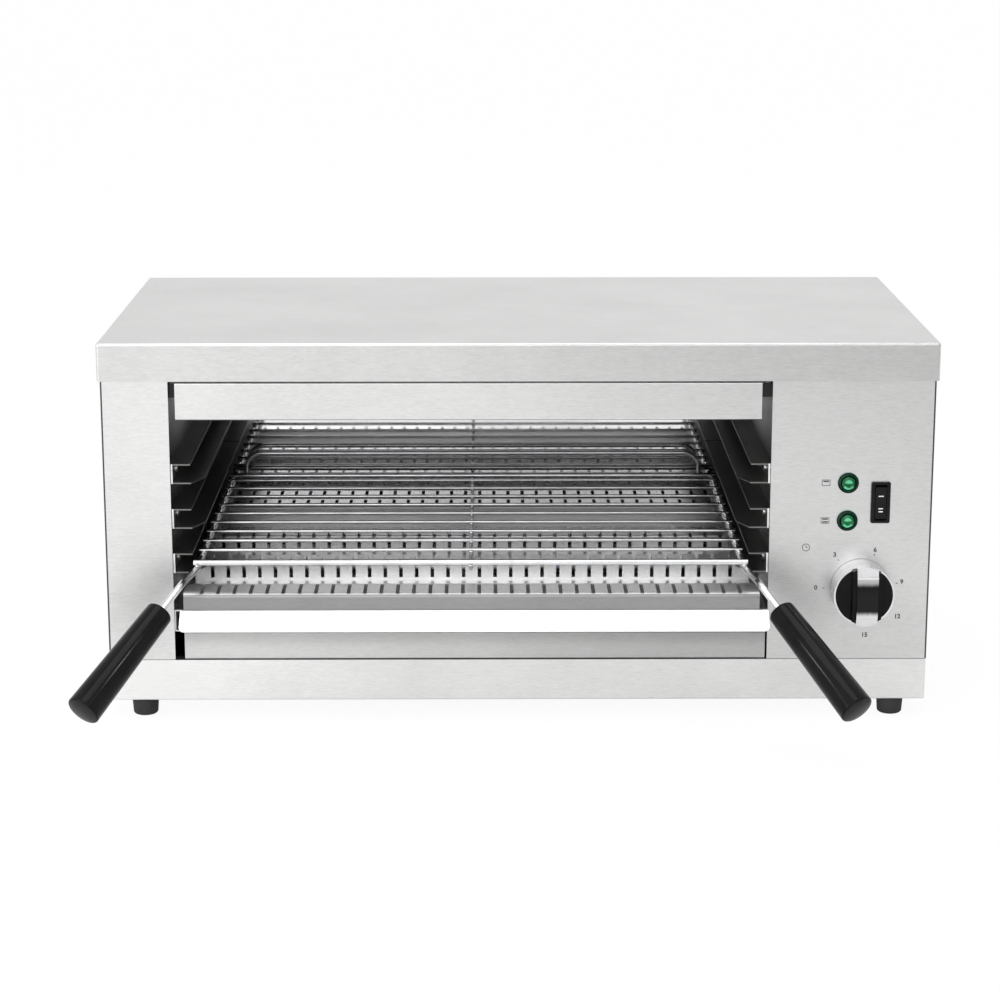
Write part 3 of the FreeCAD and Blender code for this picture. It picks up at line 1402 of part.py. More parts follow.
def rocker_switch():
    """The rocker switch: housing, paddle and pin."""
    bezel = box("bezel_block", "rocker_place - bezel_width / 2",
                "-bezel_depth", "rocker_height - bezel_height / 2",
                "bezel_width", "bezel_depth", "bezel_height")
    front = number("-bezel_depth")

    def face_edge(edge):
        return abs(edge.CenterOfMass.y - front) < NEAR

    bezel = rounded(bezel, "bezel_rounded", face_edge, "bezel_round")
    block = box("switch_block", "rocker_place - switch_width / 2", "0",
                "rocker_height - switch_height / 2", "switch_width",
                "switch_depth", "switch_height")
    well = box("switch_well", "rocker_place - well_width / 2",
               "-bezel_depth - overrun", "rocker_height - well_height / 2",
               "well_width", "bezel_depth + overrun + well_depth",
               "well_height")
    pin_hole = cylinder("switch_pin_hole", "X",
                        "rocker_place - switch_width / 2 - overrun",
                        "pivot_depth", "rocker_height", "pivot_radius",
                        "switch_width + 2 * overrun")
    housing = fuse("switch_housing", [bezel, block])
    finish(cut("rocker_housing", housing, [well, pin_hole]), "rocker_housing")
    half = "paddle_height / 2"
    keel = "paddle_keel_height / 2"
    paddle = folded("rocker_paddle", "YZ_Plane",
                    "rocker_place - paddle_width / 2", "paddle_width", [
                        ("-paddle_proud", f"rocker_height - {half}"),
                        ("paddle_dip - paddle_proud", "rocker_height"),
                        ("-paddle_proud", f"rocker_height + {half}"),
                        ("0", f"rocker_height + {half}"),
                        ("paddle_keel", f"rocker_height + {keel}"),
                        ("paddle_keel", f"rocker_height - {keel}"),
                        ("0", f"rocker_height - {half}"),
                    ])
    bore = ("pivot_depth", "rocker_height", "pivot_radius + bore_clearance")
    pocket_both_ways(paddle, "paddle_bore", "YZ_Plane", "rocker_place",
                     "paddle_width + overrun", [], [bore])
    finish(paddle, "rocker_paddle")
    pin = cylinder("rocker_pin", "X", "rocker_place - switch_width / 2",
                   "pivot_depth", "rocker_height", "pivot_radius",
                   "switch_width")
    finish(pin, "rocker_pin")


def lamps():
    """The two signal lamps: lens, body and nut."""
    lenses = []
    bodies = []
    nuts = []
    for index, z in enumerate(("upper_lamp_height", "lower_lamp_height"), 1):
        spot = ("lamp_place", "0", z)
        lens = stack(f"lens{index}", "Y", spot, [
            ("lens_radius", "-lens_flange", "lens_flange"),
            ("lens_dome_radius", "-lens_flange - lens_dome",
             "lens_flange + lens_dome"),
            ("lens_tail_radius", "-lens_flange", "lens_flange + lens_tail"),
        ])
        face = number("-lens_flange - lens_dome")

        def dome_edge(edge):
            return abs(edge.CenterOfMass.y - face) < NEAR

        lenses.append(rounded(lens, f"lens{index}_round", dome_edge,
                              "lens_round"))
        bore = ("lens_tail_radius + bore_clearance", "-overrun",
                "overrun + lens_tail + bore_clearance")
        bodies.append(stack(f"lamp_body{index}", "Y", spot, [
            ("lamp_body_radius", "0", "lamp_body_length"),
        ], bore))
        nuts.append(hex_nut(f"lamp_nut{index}", spot, "sheet",
                            "lamp_nut_radius", "lamp_nut_thickness",
                            "lamp_body_radius"))
    finish(gather("lamp_lenses", lenses), "lamp_lenses")
    finish(gather("lamp_bodies", bodies), "lamp_bodies")
    finish(gather("lamp_nuts", nuts), "lamp_nuts")


def hex_nut(name, at, start, radius, thickness, bore):
    """A six-sided nut on a Y axis."""
    prism = doc.addObject("Part::Prism", name + "_block")
    turn = FreeCAD.Rotation(AXES["Z"], AXES["Y"])
    prism.Placement = FreeCAD.Placement(FreeCAD.Vector(), turn)
    bind(prism, Circumradius=radius, Height=thickness)
    bind_place(prism, at[0], start, at[2])
    hole = cylinder(name + "_hole", "Y", at[0], f"{start} - overrun", at[2],
                    bore, f"{thickness} + 2 * overrun")
    return cut(name, prism, [hole])


def mains_inlet():
    """The cable gland, its nut, the earth terminal and the block."""
    spot = ("gland_place", "0", "gland_height")
    steps = [
        ("gland_neck", "case_depth - gland_inside",
         "gland_inside + gland_flange"),
        ("gland_flange_radius", "case_depth", "gland_flange"),
        ("gland_cap_radius", "case_depth", "gland_flange + gland_cap"),
    ]
    bore = ("gland_bore", "case_depth - gland_inside - overrun",
            "gland_inside + gland_flange + gland_cap + 2 * overrun")
    finish(stack("cable_gland", "Y", spot, steps, bore), "cable_gland")
    nut = hex_nut("gland_nut", spot, "back_face - gland_nut_thickness",
                  "gland_flange_radius", "gland_nut_thickness", "gland_neck")
    finish(nut, "gland_nut")
    spot = ("earth_place", "0", "gland_height")
    steps = [("earth_radius", "back_face - screw_length",
              "screw_length + sheet + earth_length")]
    stud = stack("earth_stud", "Y", spot, steps)
    nut = hex_nut("earth_nut", spot, "case_depth", "earth_nut_radius",
                  "earth_nut", "earth_radius")
    finish(fuse("earth_terminal", [stud, nut]), "earth_terminal")
    middle_y = "back_face - block_setback"
    block = box("block_body", "block_place - block_width / 2",
                f"{middle_y} - block_depth / 2", "base_floor", "block_width",
                "block_depth", "block_height")
    wells = []
    for index, step in enumerate(("-1", "0", "1"), start=1):
        wells.append(cylinder(f"block_well{index}", "Z",
                              f"block_place + {step} * block_screw_pitch",
                              middle_y,
                              "base_floor + block_height - block_screw_depth",
                              "block_screw_radius",
                              "block_screw_depth + overrun"))
    finish(cut("terminal_block", block, wells), "terminal_block")


def check_document():
    """Stop if any feature failed or any sub-part isn't sound."""
    doc.recompute()
    for item in doc.Objects:
        bad = {"Invalid", "Error"} & set(item.State)
        if bad:
            raise RuntimeError(f"{item.Name} is {sorted(bad)}")
    for item in finished:
        if item.Shape.isNull() or not item.Shape.isValid():
            raise RuntimeError(f"{item.Label} has no sound shape")


def move_to_frame():
    """Move every piece alike, so the outline's middle is at X 0 and Y 0."""
    whole = FreeCAD.BoundBox()
    for item in finished:
        whole.add(item.Shape.optimalBoundingBox())
    shift = FreeCAD.Vector(-whole.Center.x, -whole.Center.y, 0)
    for item in finished:
        current = item.Placement
        moved = current.Base + shift
        for axis in ("x", "y", "z"):
            item.setExpression("Placement.Base." + axis, None)
        item.Placement = FreeCAD.Placement(moved, current.Rotation)
    print("moved by", round(shift.x, 4), round(shift.y, 4))
    print("size", [round(size, 2) for size in
                   (whole.XLength, whole.YLength, whole.ZLength)])


def write_parts():
    """Write each sub-part to its own file."""
    os.makedirs("parts", exist_ok=True)
    for item in finished:
        item.Shape.exportStep(f"parts/{item.Label}.step")
    print(len(finished), "sub-parts")


fill_sheet()
top_cover()
base_pan()
feet_and_bolts()
side_panels()
front_panels()
back_panel()
cavity_walls()
front_strips()
lower_rails()
runners()
case_screws()
lower_guard()
elements()
rack()
crumb_tray()
timer()
rocker_switch()
lamps()
mains_inlet()
check_document()
move_to_frame()
check_document()
write_parts()
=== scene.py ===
"""Looks for a counter-top cheese melter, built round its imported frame."""

import math

import bmesh
import bpy
from bpy.props import FloatProperty, FloatVectorProperty, IntProperty
from bpy.props import PointerProperty
from mathutils import Matrix, Vector


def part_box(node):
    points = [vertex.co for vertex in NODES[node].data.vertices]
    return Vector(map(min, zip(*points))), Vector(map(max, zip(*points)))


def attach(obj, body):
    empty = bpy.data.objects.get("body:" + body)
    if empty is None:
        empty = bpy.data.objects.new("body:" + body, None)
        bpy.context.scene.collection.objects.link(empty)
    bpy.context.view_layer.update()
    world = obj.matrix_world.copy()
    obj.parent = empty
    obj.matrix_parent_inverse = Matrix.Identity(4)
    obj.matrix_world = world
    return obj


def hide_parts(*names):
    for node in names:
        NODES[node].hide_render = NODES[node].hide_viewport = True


bl_info = {
    "name": "Cheese melter looks",
    "version": (1, 0, 0),
    "blender": (4, 5, 0),
    "location": "3D View > Sidebar > Melter",
    "description": "Finishes, fittings and studio for a cheese melter",
    "category": "Object",
}

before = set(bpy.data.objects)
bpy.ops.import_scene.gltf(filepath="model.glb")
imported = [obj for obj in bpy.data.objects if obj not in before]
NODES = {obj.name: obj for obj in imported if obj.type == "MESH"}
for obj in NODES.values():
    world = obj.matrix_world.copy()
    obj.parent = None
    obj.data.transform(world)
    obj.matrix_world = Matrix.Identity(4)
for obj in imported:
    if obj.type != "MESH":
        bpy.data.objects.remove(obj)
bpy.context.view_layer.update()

MM = 0.001
FRONT = Vector((0, -1, 0))
BACK = Vector((0, 1, 0))
UP = Vector((0, 0, 1))
WHITE = (1.0, 1.0, 1.0, 1.0)

PANEL_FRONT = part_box("control_panel")[0].y
SCREW_HEAD = 1.8 * MM


def middle(node):
    """The middle of a node's box."""
    low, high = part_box(node)
    return (low + high) / 2


# ---------------------------------------------------------------- settings


def metres(name, default, description):
    """A length in metres that a user would change."""
    return FloatProperty(name=name, unit="LENGTH", default=default,
                         description=description)


def tint(name, default, description):
    """A colour that a user would change."""
    return FloatVectorProperty(name=name, subtype="COLOR", default=default,
                               description=description)


class MelterSizes(bpy.types.PropertyGroup):
    """Sizes of the fittings and the printing, in metres."""

    numeral_height: metres("Numeral height", 0.0033,
                           "Height of the numbers round the timer's knob")
    print_thickness: metres("Print thickness", 0.00008,
                            "How far the printing stands off the panel")
    tick_length: metres("Tick length", 0.0013,
                        "Length of a tick by the timer's knob")
    sign_size: metres("Sign size", 0.0058,
                      "Width of the small signs by the lamps and the timer")
    screw_recess: metres("Screw recess", 0.0009,
                         "Width of the cross in a screw's head")
    weld_radius: metres("Weld radius", 0.0019,
                        "Radius of the weld where two rack wires meet")
    knob_rounding: metres("Knob rounding", 0.0005,
                          "Rounding of the knob's edges")
    segments: IntProperty(
        name="Segments", default=64, min=16, max=128,
        description="Sides of a large round fitting")


class MelterColours(bpy.types.PropertyGroup):
    """Base colours of the finishes."""

    steel: tint("Steel", (0.69, 0.69, 0.685),
                "Brushed sheet of the casing")
    # The cavity colour is painted shade, not a heat tint: it makes the
    # cavity's walls, hangers and runners as dark as the shade inside the
    # cavity.
    cavity: tint("Cavity steel", (0.20, 0.20, 0.195),
                 "Heat-darkened sheet of the cavity's sides and runners")
    bright: tint("Bright steel", (0.86, 0.86, 0.865),
                 "Sheet of the guard, the crumb tray and the back wall")
    chrome: tint("Chrome", (0.68, 0.68, 0.69),
                 "Plating of the rack and the knob")
    black: tint("Black", (0.004, 0.004, 0.004),
                "Mouldings: grips, switch and knob insets")
    rubber: tint("Rubber", (0.018, 0.018, 0.018), "Feet")
    lamp: tint("Lamp green", (0.004, 0.20, 0.06), "Middle of a lamp's lens")
    ink: tint("Ink", (0.03, 0.03, 0.03), "Printing on the control panel")
    ceramic: tint("Ceramic", (0.82, 0.80, 0.74),
                  "Insulators and terminal block")
    wool: tint("Mineral wool", (0.58, 0.52, 0.36),
               "Insulation over the roof")


def sizes():
    """The scene's sizes."""
    return bpy.context.scene.melter_sizes


def colours():
    """The scene's colours."""
    return bpy.context.scene.melter_colours


# ------------------------------------------------------------- node groups


def new_group(name, inputs, outputs):
    """An empty shader group with vector inputs and float outputs."""
    group = bpy.data.node_groups.new(name, "ShaderNodeTree")
    for label, value in inputs.items():
        item = group.interface.new_socket(
            name=label, in_out="INPUT", socket_type="NodeSocketVector")
        item.default_value = value
    for label in outputs:
        group.interface.new_socket(
            name=label, in_out="OUTPUT", socket_type="NodeSocketFloat")
    start = group.nodes.new("NodeGroupInput")
    end = group.nodes.new("NodeGroupOutput")
    return group, start, end


def arithmetic(tree, operation, first, second):
    """A sum, product or the like of two sockets or numbers."""
    node = tree.nodes.new("ShaderNodeMath")
    node.operation = operation
    for place, value in enumerate((first, second)):
        if isinstance(value, (int, float)):
            node.inputs[place].default_value = value
        else:
            tree.links.new(value, node.inputs[place])
    return node.outputs[0]


def chain(tree, value, *steps):
    """A socket after several steps, each an operation and its operand."""
    for operation, other in steps:
        value = arithmetic(tree, operation, value, other)
    return value


def smooth_step(tree, value, low, high, kind="SMOOTHSTEP"):
    """A change from 0 at low to 1 at high."""
    step = tree.nodes.new("ShaderNodeMapRange")
    step.interpolation_type = kind
    step.inputs["From Min"].default_value = low
    step.inputs["From Max"].default_value = high
    tree.links.new(value, step.inputs["Value"])
    return step.outputs["Result"]


def axes(tree, coordinates="Object"):
    """The X, Y and Z of a material's or the world's coordinates."""
    place = tree.nodes.new("ShaderNodeTexCoord")
    parts = tree.nodes.new("ShaderNodeSeparateXYZ")
    tree.links.new(place.outputs[coordinates], parts.inputs["Vector"])
    return parts.outputs


def stretched_noise(tree, stretch, detail, roughness):
    """Noise on object coordinates, stretched by a vector socket."""
    place = tree.nodes.new("ShaderNodeTexCoord")
    scale = tree.nodes.new("ShaderNodeVectorMath")
    scale.operation = "MULTIPLY"
    tree.links.new(place.outputs["Object"], scale.inputs[0])
    tree.links.new(stretch, scale.inputs[1])
    noise = tree.nodes.new("ShaderNodeTexNoise")
    noise.inputs["Scale"].default_value = 1.0
    noise.inputs["Detail"].default_value = detail
    noise.inputs["Roughness"].default_value = roughness
    tree.links.new(scale.outputs[0], noise.inputs["Vector"])
    return noise.outputs["Fac"]


def brushed_grain_group():
    """Streaks of a brushed sheet, and the faint bands between them."""
    group, start, end = new_group(
        "Brushed grain",
        {"Streaks": (55.0, 2300.0, 2300.0), "Bands": (7.0, 260.0, 260.0)},
        ["Tone", "Height"])
    fine = stretched_noise(group, start.outputs["Streaks"], 3.0, 0.65)
    broad = stretched_noise(group, start.outputs["Bands"], 2.0, 0.5)
    broad = arithmetic(group, "MULTIPLY", broad, 0.22)
    tone = chain(group, fine, ("MULTIPLY", 0.78), ("ADD", broad))
    group.links.new(tone, end.inputs["Tone"])
    group.links.new(fine, end.inputs["Height"])
    return group


def noise_group(name, label, stretch, output, detail, roughness, span=None):
    """A group of one stretched noise, made steeper over a span."""
    group, start, end = new_group(name, {label: stretch}, [output])
    value = stretched_noise(group, start.outputs[label], detail, roughness)
    if span:
        value = smooth_step(group, value, *span, kind="LINEAR")
    group.links.new(value, end.inputs[output])
    return group


GROUPS = {}


def build_groups():
    """Every shared shader group, built once."""
    GROUPS["grain"] = brushed_grain_group()
    # Soft smudges left by hands and cloths.
    GROUPS["handling"] = noise_group(
        "Handling marks", "Size", (11.0, 11.0, 11.0), "Smudge", 4.0, 0.55,
        (0.38, 0.68))
    # The slight waviness of thin sheet, seen in its reflections.
    GROUPS["wave"] = noise_group(
        "Sheet waviness", "Size", (9.0, 9.0, 14.0), "Height", 1.0, 0.4)
    # Hairline scratches, mostly along one direction.
    GROUPS["wear"] = noise_group(
        "Fine wear", "Scratches", (900.0, 40.0, 40.0), "Scratch", 2.0, 0.5,
        (0.62, 0.72))


def place_group(tree, key, **vectors):
    """The outputs of a shared group in a material, with its own vectors."""
    node = tree.nodes.new("ShaderNodeGroup")
    node.node_tree = GROUPS[key]
    for name, value in vectors.items():
        node.inputs[name].default_value = value
    return node.outputs


# --------------------------------------------------------------- materials

METAL = {"Metallic": 1.0}
ALONG_X = {"Streaks": (190.0, 1500.0, 1500.0), "Bands": (60.0, 420.0, 420.0)}
ALONG_Y = {"Streaks": (1500.0, 190.0, 1500.0), "Bands": (420.0, 60.0, 420.0)}


def blank_material(name, settings):
    """A material with a lone Principled shader and its plain settings."""
    material = bpy.data.materials.new(name)
    material.use_nodes = True
    tree = material.node_tree
    shader = tree.nodes["Principled BSDF"]
    for label, value in settings.items():
        shader.inputs[label].default_value = value
    return material, tree, shader


def shade_colour(tree, shader, colour, mask, low, high):
    """Base colour that varies with a mask, between two brightnesses."""
    mix = tree.nodes.new("ShaderNodeMix")
    mix.data_type = "RGBA"
    tree.links.new(mask, mix.inputs["Factor"])
    for socket, share in (("A", low), ("B", high)):
        parts = [min(part * share, 1.0) for part in colour]
        mix.inputs[socket].default_value = (*parts, 1.0)
    tree.links.new(mix.outputs["Result"], shader.inputs["Base Color"])


def shade_roughness(tree, shader, mask, low, high):
    """Roughness that varies with a mask."""
    spread = tree.nodes.new("ShaderNodeMapRange")
    spread.inputs["To Min"].default_value = low
    spread.inputs["To Max"].default_value = high
    tree.links.new(mask, spread.inputs["Value"])
    tree.links.new(spread.outputs["Result"], shader.inputs["Roughness"])


def raise_surface(tree, shader, *layers):
    """Bump from several heights, each with its depth in metres."""
    normal = None
    for height, depth in layers:
        bump = tree.nodes.new("ShaderNodeBump")
        bump.inputs["Strength"].default_value = 1.0
        bump.inputs["Distance"].default_value = depth
        tree.links.new(height, bump.inputs["Height"])
        if normal is not None:
            tree.links.new(normal, bump.inputs["Normal"])
        normal = bump.outputs["Normal"]
    tree.links.new(normal, shader.inputs["Normal"])


def painted_zone_tone(tree, painted_zones):
    """Soft zones of painted light and shade along an axis: each has the axis,
    the two places between which it changes, and the brightness at both."""
    places = axes(tree)
    total = None
    for axis, start, end, first, last in painted_zones:
        step = smooth_step(tree, places[axis], start, end)
        step = chain(tree, step, ("MULTIPLY", last - first), ("ADD", first))
        total = step if total is None else arithmetic(
            tree, "MULTIPLY", total, step)
    return total


def brushed_sheet(name, colour, rough, grain, depth, wave=0.0, painted_zones=(),
                  metal=1.0):
    """Brushed stainless sheet, with any zones of painted light and shade."""
    material, tree, shader = blank_material(name, {"Metallic": metal})
    streaks = place_group(tree, "grain", **grain)
    smudge = place_group(tree, "handling")["Smudge"]
    tone = chain(tree, smudge, ("MULTIPLY", -0.15), ("ADD", streaks["Tone"]))
    if painted_zones:
        # Painted light and shade: the zones scale the base colour.
        tone = chain(tree, tone, ("MULTIPLY", 0.36), ("ADD", 0.64),
                     ("MULTIPLY", painted_zone_tone(tree, painted_zones)))
        shade_colour(tree, shader, colour, tone, 0.0, 1.22)
    else:
        shade_colour(tree, shader, colour, tone, 0.78, 1.24)
    gloss = chain(tree, smudge, ("MULTIPLY", 0.25), ("ADD", streaks["Tone"]))
    shade_roughness(tree, shader, gloss, *rough)
    layers = [(streaks["Height"], depth)]
    if wave:
        layers.append((place_group(tree, "wave")["Height"], wave))
    raise_surface(tree, shader, *layers)
    return material


def rippled_sheet(name, colour, rough):
    """Bright-annealed sheet with long shallow ripples near its top."""
    material, tree, shader = blank_material(name, METAL)
    smudge = place_group(tree, "handling")["Smudge"]
    shade_colour(tree, shader, colour, smudge, 1.0, 0.9)
    shade_roughness(tree, shader, smudge, *rough)
    broad = place_group(tree, "wave", Size=(7.0, 7.0, 11.0))["Height"]
    ripple = place_group(tree, "wave", Size=(3.0, 3.0, 105.0))["Height"]
    top = smooth_step(tree, axes(tree)["Z"], 0.176, 0.200)
    lines = arithmetic(tree, "MULTIPLY", ripple, top)
    raise_surface(tree, shader, (broad, 0.00003), (lines, 0.0006))
    return material


def plated_wire(name, colour, rough):
    """Bright plating with faint drawing lines and smudges."""
    material, tree, shader = blank_material(name, METAL)
    smudge = place_group(tree, "handling", Size=(60.0, 60.0, 60.0))["Smudge"]
    lines = place_group(tree, "wear", Scratches=(120.0, 900.0, 900.0))
    shade_colour(tree, shader, colour, smudge, 1.04, 0.86)
    shade_roughness(tree, shader, smudge, *rough)
    raise_surface(tree, shader, (lines["Scratch"], 0.00001))
    return material


def moulding(name, colour, rough, gloss, grain_depth):
    """Moulded plastic or phenolic, with hairlines and handling marks."""
    settings = {"Specular IOR Level": gloss}
    material, tree, shader = blank_material(name, settings)
    smudge = place_group(tree, "handling", Size=(45.0, 45.0, 45.0))["Smudge"]
    hair = place_group(tree, "wear", Scratches=(700.0, 60.0, 700.0))["Scratch"]
    wear = chain(tree, hair, ("MULTIPLY", 0.5), ("ADD", smudge))
    shade_colour(tree, shader, colour, wear, 0.9, 1.7)
    shade_roughness(tree, shader, wear, *rough)
    fine = place_group(tree, "grain", Streaks=(1500.0, 1500.0, 1500.0),
                       Bands=(300.0, 300.0, 300.0))
    raise_surface(tree, shader, (fine["Height"], grain_depth))
    return material


def crest_painted_reflection(name, colour, rough, height, reach):
    """Plating with a painted dark reflection that fades towards both ends."""
    material, tree, shader = blank_material(name, METAL)
    streaks = place_group(tree, "grain", Streaks=(1600.0, 60.0, 40.0),
                          Bands=(500.0, 60.0, 30.0))
    uneven = chain(tree, streaks["Tone"], ("SUBTRACT", 0.5),
                   ("MULTIPLY", 0.003))
    away = chain(tree, axes(tree)["Z"], ("SUBTRACT", height),
                 ("ABSOLUTE", 0.0), ("ADD", uneven))
    clear = smooth_step(tree, away, reach * 0.66, reach)
    # Painted dark reflection: near-black in the middle, the chrome's own
    # colour at both ends.
    shade_colour(tree, shader, colour, clear, 0.02 / colour[0], 1.0)
    shade_roughness(tree, shader, streaks["Tone"], *rough)
    raise_surface(tree, shader, (streaks["Height"], 0.000004))
    return material


def heated_sheath(name, rough):
    """Dull element sheath, tinted by heat."""
    material, tree, shader = blank_material(name, METAL)
    smudge = place_group(tree, "handling", Size=(14.0, 30.0, 30.0))["Smudge"]
    ramp = tree.nodes.new("ShaderNodeValToRGB")
    ramp.color_ramp.elements[0].color = (0.46, 0.43, 0.40, 1.0)
    ramp.color_ramp.elements[1].color = (0.30, 0.24, 0.20, 1.0)
    blue = ramp.color_ramp.elements.new(0.6)
    blue.color = (0.26, 0.28, 0.34, 1.0)
    tree.links.new(smudge, ramp.inputs["Fac"])
    tree.links.new(ramp.outputs["Color"], shader.inputs["Base Color"])
    shade_roughness(tree, shader, smudge, *rough)
    rings = place_group(tree, "grain", Streaks=(1800.0, 300.0, 300.0))
    raise_surface(tree, shader, (rings["Height"], 0.00002))
    return material


def mottled(name, colour, rough, tones, depth, settings, key, **vectors):
    """A finish that follows one shared group in all that varies."""
    material, tree, shader = blank_material(name, settings)
    marks = place_group(tree, key, **vectors)
    shade_colour(tree, shader, colour, marks[0], *tones)
    shade_roughness(tree, shader, marks[0], *rough)
    if depth:
        raise_surface(tree, shader, (marks[-1], depth))
    return material


def lamp_glass(name, colour, tones, coat, rough):
    """Green lens material, slightly uneven."""
    settings = {"Coat Weight": coat, "Coat Roughness": 0.04,
                "Specular IOR Level": 0.2}
    return mottled(name, colour, rough, tones, 0.00002, settings,
                   "handling", Size=(300.0, 300.0, 300.0))


def printed_ink(name, colour):
    """Screen-printed ink, thin and slightly uneven."""
    return mottled(name, colour, (0.45, 0.6), (0.85, 1.25), 0.0, {},
                   "handling", Size=(700.0, 700.0, 700.0))


def darker(colour, share):
    """A share of a colour."""
    return tuple(share * part for part in colour)


FINISHES = {}


def build_finishes():
    """Every finish of the object."""
    c = colours()
    steel, cavity, bright = tuple(c.steel), tuple(c.cavity), tuple(c.bright)
    chrome, black = tuple(c.chrome), tuple(c.black)
    # The cover's and the lower panel's steel, a tenth darker than the
    # casing's, is painted shade.
    cover = darker(steel, 0.9)
    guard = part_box("lower_guard")[0].y
    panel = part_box("lower_front_panel")[1].z
    # Painted reflection and shade: the guard's darker front wall and its tone,
    # brighter in front and darker towards the back, the cavity's darker
    # opening, the lower panel darker under the tray's lip and to the right,
    # the base's brighter left end, the control panel's darker foot and the
    # side panels' dark front edges are painted into the colour, each for
    # something darker or paler that the sheet would mirror or for shade
    # falling on it.
    nose_painted_shade = [("Y", guard + 0.4 * MM, guard + 2.2 * MM, 0.30, 1.0),
            ("Y", guard + 0.11, guard + 0.20, 1.12, 0.72)]
    mouth_painted_shade = [("Y", PANEL_FRONT, PANEL_FRONT + 0.08, 0.25, 1.0)]
    shade = [("Z", panel - 14 * MM, panel - 2 * MM, 1.0, 0.75),
             ("X", -0.24, 0.16, 1.0, 0.70)]
    left_end_painted_reflection = [("X", -0.28, -0.06, 1.24, 1.0)]
    sill_painted_shade = [("Z", 0.03, 0.21, 0.84, 1.0)]
    brim_painted_shade = [("Y", PANEL_FRONT + 0.3 * MM, PANEL_FRONT + 2.0 * MM, 0.12, 1.0)]
    satin, dull = (0.30, 0.38), (0.34, 0.44)
    deep, shallow, wavy = 0.00001, 0.000003, 0.00006
    # Each sheet: its name, colour, roughness, grain, the grain's depth, the
    # depth of its waves, its zones of painted light and shade and how metallic
    # it is.
    sheets = {
        "casing": ("Casing steel", steel, satin, ALONG_X, deep, wavy),
        "cover": ("Cover steel", cover, satin, ALONG_X, deep, wavy),
        "base": ("Base steel", steel, satin, ALONG_X, deep, wavy, left_end_painted_reflection),
        "control": ("Control panel steel", steel, satin, ALONG_X, deep, wavy,
                    sill_painted_shade),
        "lower": ("Lower panel steel", cover, satin, ALONG_X, deep, 0.0,
                  shade),
        "side": ("Side steel", steel, satin, ALONG_Y, deep, wavy, brim_painted_shade),
        "fascia": ("Fascia steel", steel, (0.28, 0.36), ALONG_X, deep),
        # The cavity's and the runners' dark colour is painted shade.
        "cavity": ("Cavity steel", cavity, dull, ALONG_Y, shallow, 0.0001,
                   mouth_painted_shade),
        "runner": ("Runner steel", cavity, dull, ALONG_Y, shallow),
        "rail": ("Rail steel", steel, dull, ALONG_Y, shallow),
        # Near-black sheet for the fascia's brackets: painted shade.
        "sooty": ("Sooty steel", (0.03, 0.03, 0.03), (0.4, 0.5), ALONG_Y,
                  shallow),
        "guard": ("Guard steel", bright, (0.18, 0.28), ALONG_X, 0.000001,
                  0.00004, nose_painted_shade, 0.62),
        "tray": ("Tray steel", bright, (0.24, 0.34), ALONG_X, shallow, 0.0,
                 (), 0.6),
    }
    plating = {
        "wire": ("Chromed wire", chrome, (0.10, 0.24)),
        # The centre wire's darker copy of the chrome is a painted dark
        # reflection.
        "dull_wire": ("Dull wire", darker(chrome, 0.42), (0.10, 0.24)),
        "knob": ("Chromed knob", chrome, (0.10, 0.18)),
        # The bar's upper end gets a darker, rougher copy of the chrome:
        # painted shade.
        "knob_end": ("Knob end", darker(chrome, 0.62), (0.26, 0.34)),
        # The lips' plating, far paler than the darkened runners, is a painted
        # highlight on the runners' front edges.
        "lip": ("Bright lip", (0.85, 0.85, 0.85), (0.25, 0.4)),
        "screw": ("Plated screws", (0.72, 0.72, 0.72), (0.25, 0.42)),
        "brass": ("Brass", (0.72, 0.52, 0.22), (0.2, 0.4)),
    }
    # Each moulding: its name, colour, roughness, gloss and grain depth.
    mouldings = {
        "grip": ("Glossy phenolic", black, (0.10, 0.16), 0.11, 0.000002),
        "plastic": ("Black plastic", black, (0.26, 0.40), 0.16, 0.000008),
        "inset": ("Knob inset", black, (0.16, 0.26), 0.10, 0.000003),
        "rubber": ("Rubber", tuple(c.rubber), (0.6, 0.8), 0.3, 0.00003),
    }
    # Each part of a lens: its name, colour, tones, coat and roughness.
    lenses = {
        "lamp_middle": ("Lamp middle", tuple(c.lamp), (0.35, 0.65), 0.3,
                        (0.06, 0.14)),
        # The glint is a painted highlight for each dome's low arc and top
        # spot.
        "lamp_glint": ("Lamp glint", (0.10, 0.50, 0.26), (0.7, 1.1), 0.3,
                       (0.06, 0.14)),
        "lamp_ring": ("Lamp ring", (0.001, 0.020, 0.011), (0.6, 1.5), 0.05,
                      (0.06, 0.14)),
        "lamp_rim": ("Lamp rim", (0.02, 0.15, 0.085), (0.6, 1.4), 0.2,
                     (0.12, 0.25)),
    }
    inks = {
        "ink": ("Panel ink", tuple(c.ink)),
        "white_ink": ("White ink", (0.8, 0.8, 0.8)),
    }
    for make, rows in ((brushed_sheet, sheets), (plated_wire, plating),
                       (moulding, mouldings), (lamp_glass, lenses),
                       (printed_ink, inks)):
        for key, row in rows.items():
            FINISHES[key] = make(*row)
    FINISHES["reflector"] = rippled_sheet(
        "Reflector steel", darker(bright, 0.86), (0.025, 0.05))
    # The crest's dark middle is a painted reflection.
    FINISHES["knob_crest"] = crest_painted_reflection(
        "Crest painted reflection", chrome, (0.16, 0.24), middle("timer_knob").z - MM,
        13.6 * MM)
    FINISHES["sheath"] = heated_sheath("Element sheath", (0.26, 0.42))
    FINISHES["ceramic"] = mottled(
        "White ceramic", tuple(c.ceramic), (0.22, 0.34), (1.0, 0.88),
        0.00002, {"Coat Weight": 0.4}, "handling",
        Size=(240.0, 240.0, 240.0))
    FINISHES["wool"] = mottled(
        "Mineral wool slab", tuple(c.wool), (0.85, 1.0), (0.7, 1.25),
        0.0006, {}, "grain", Streaks=(500.0, 1400.0, 1400.0),
        Bands=(60.0, 80.0, 90.0))


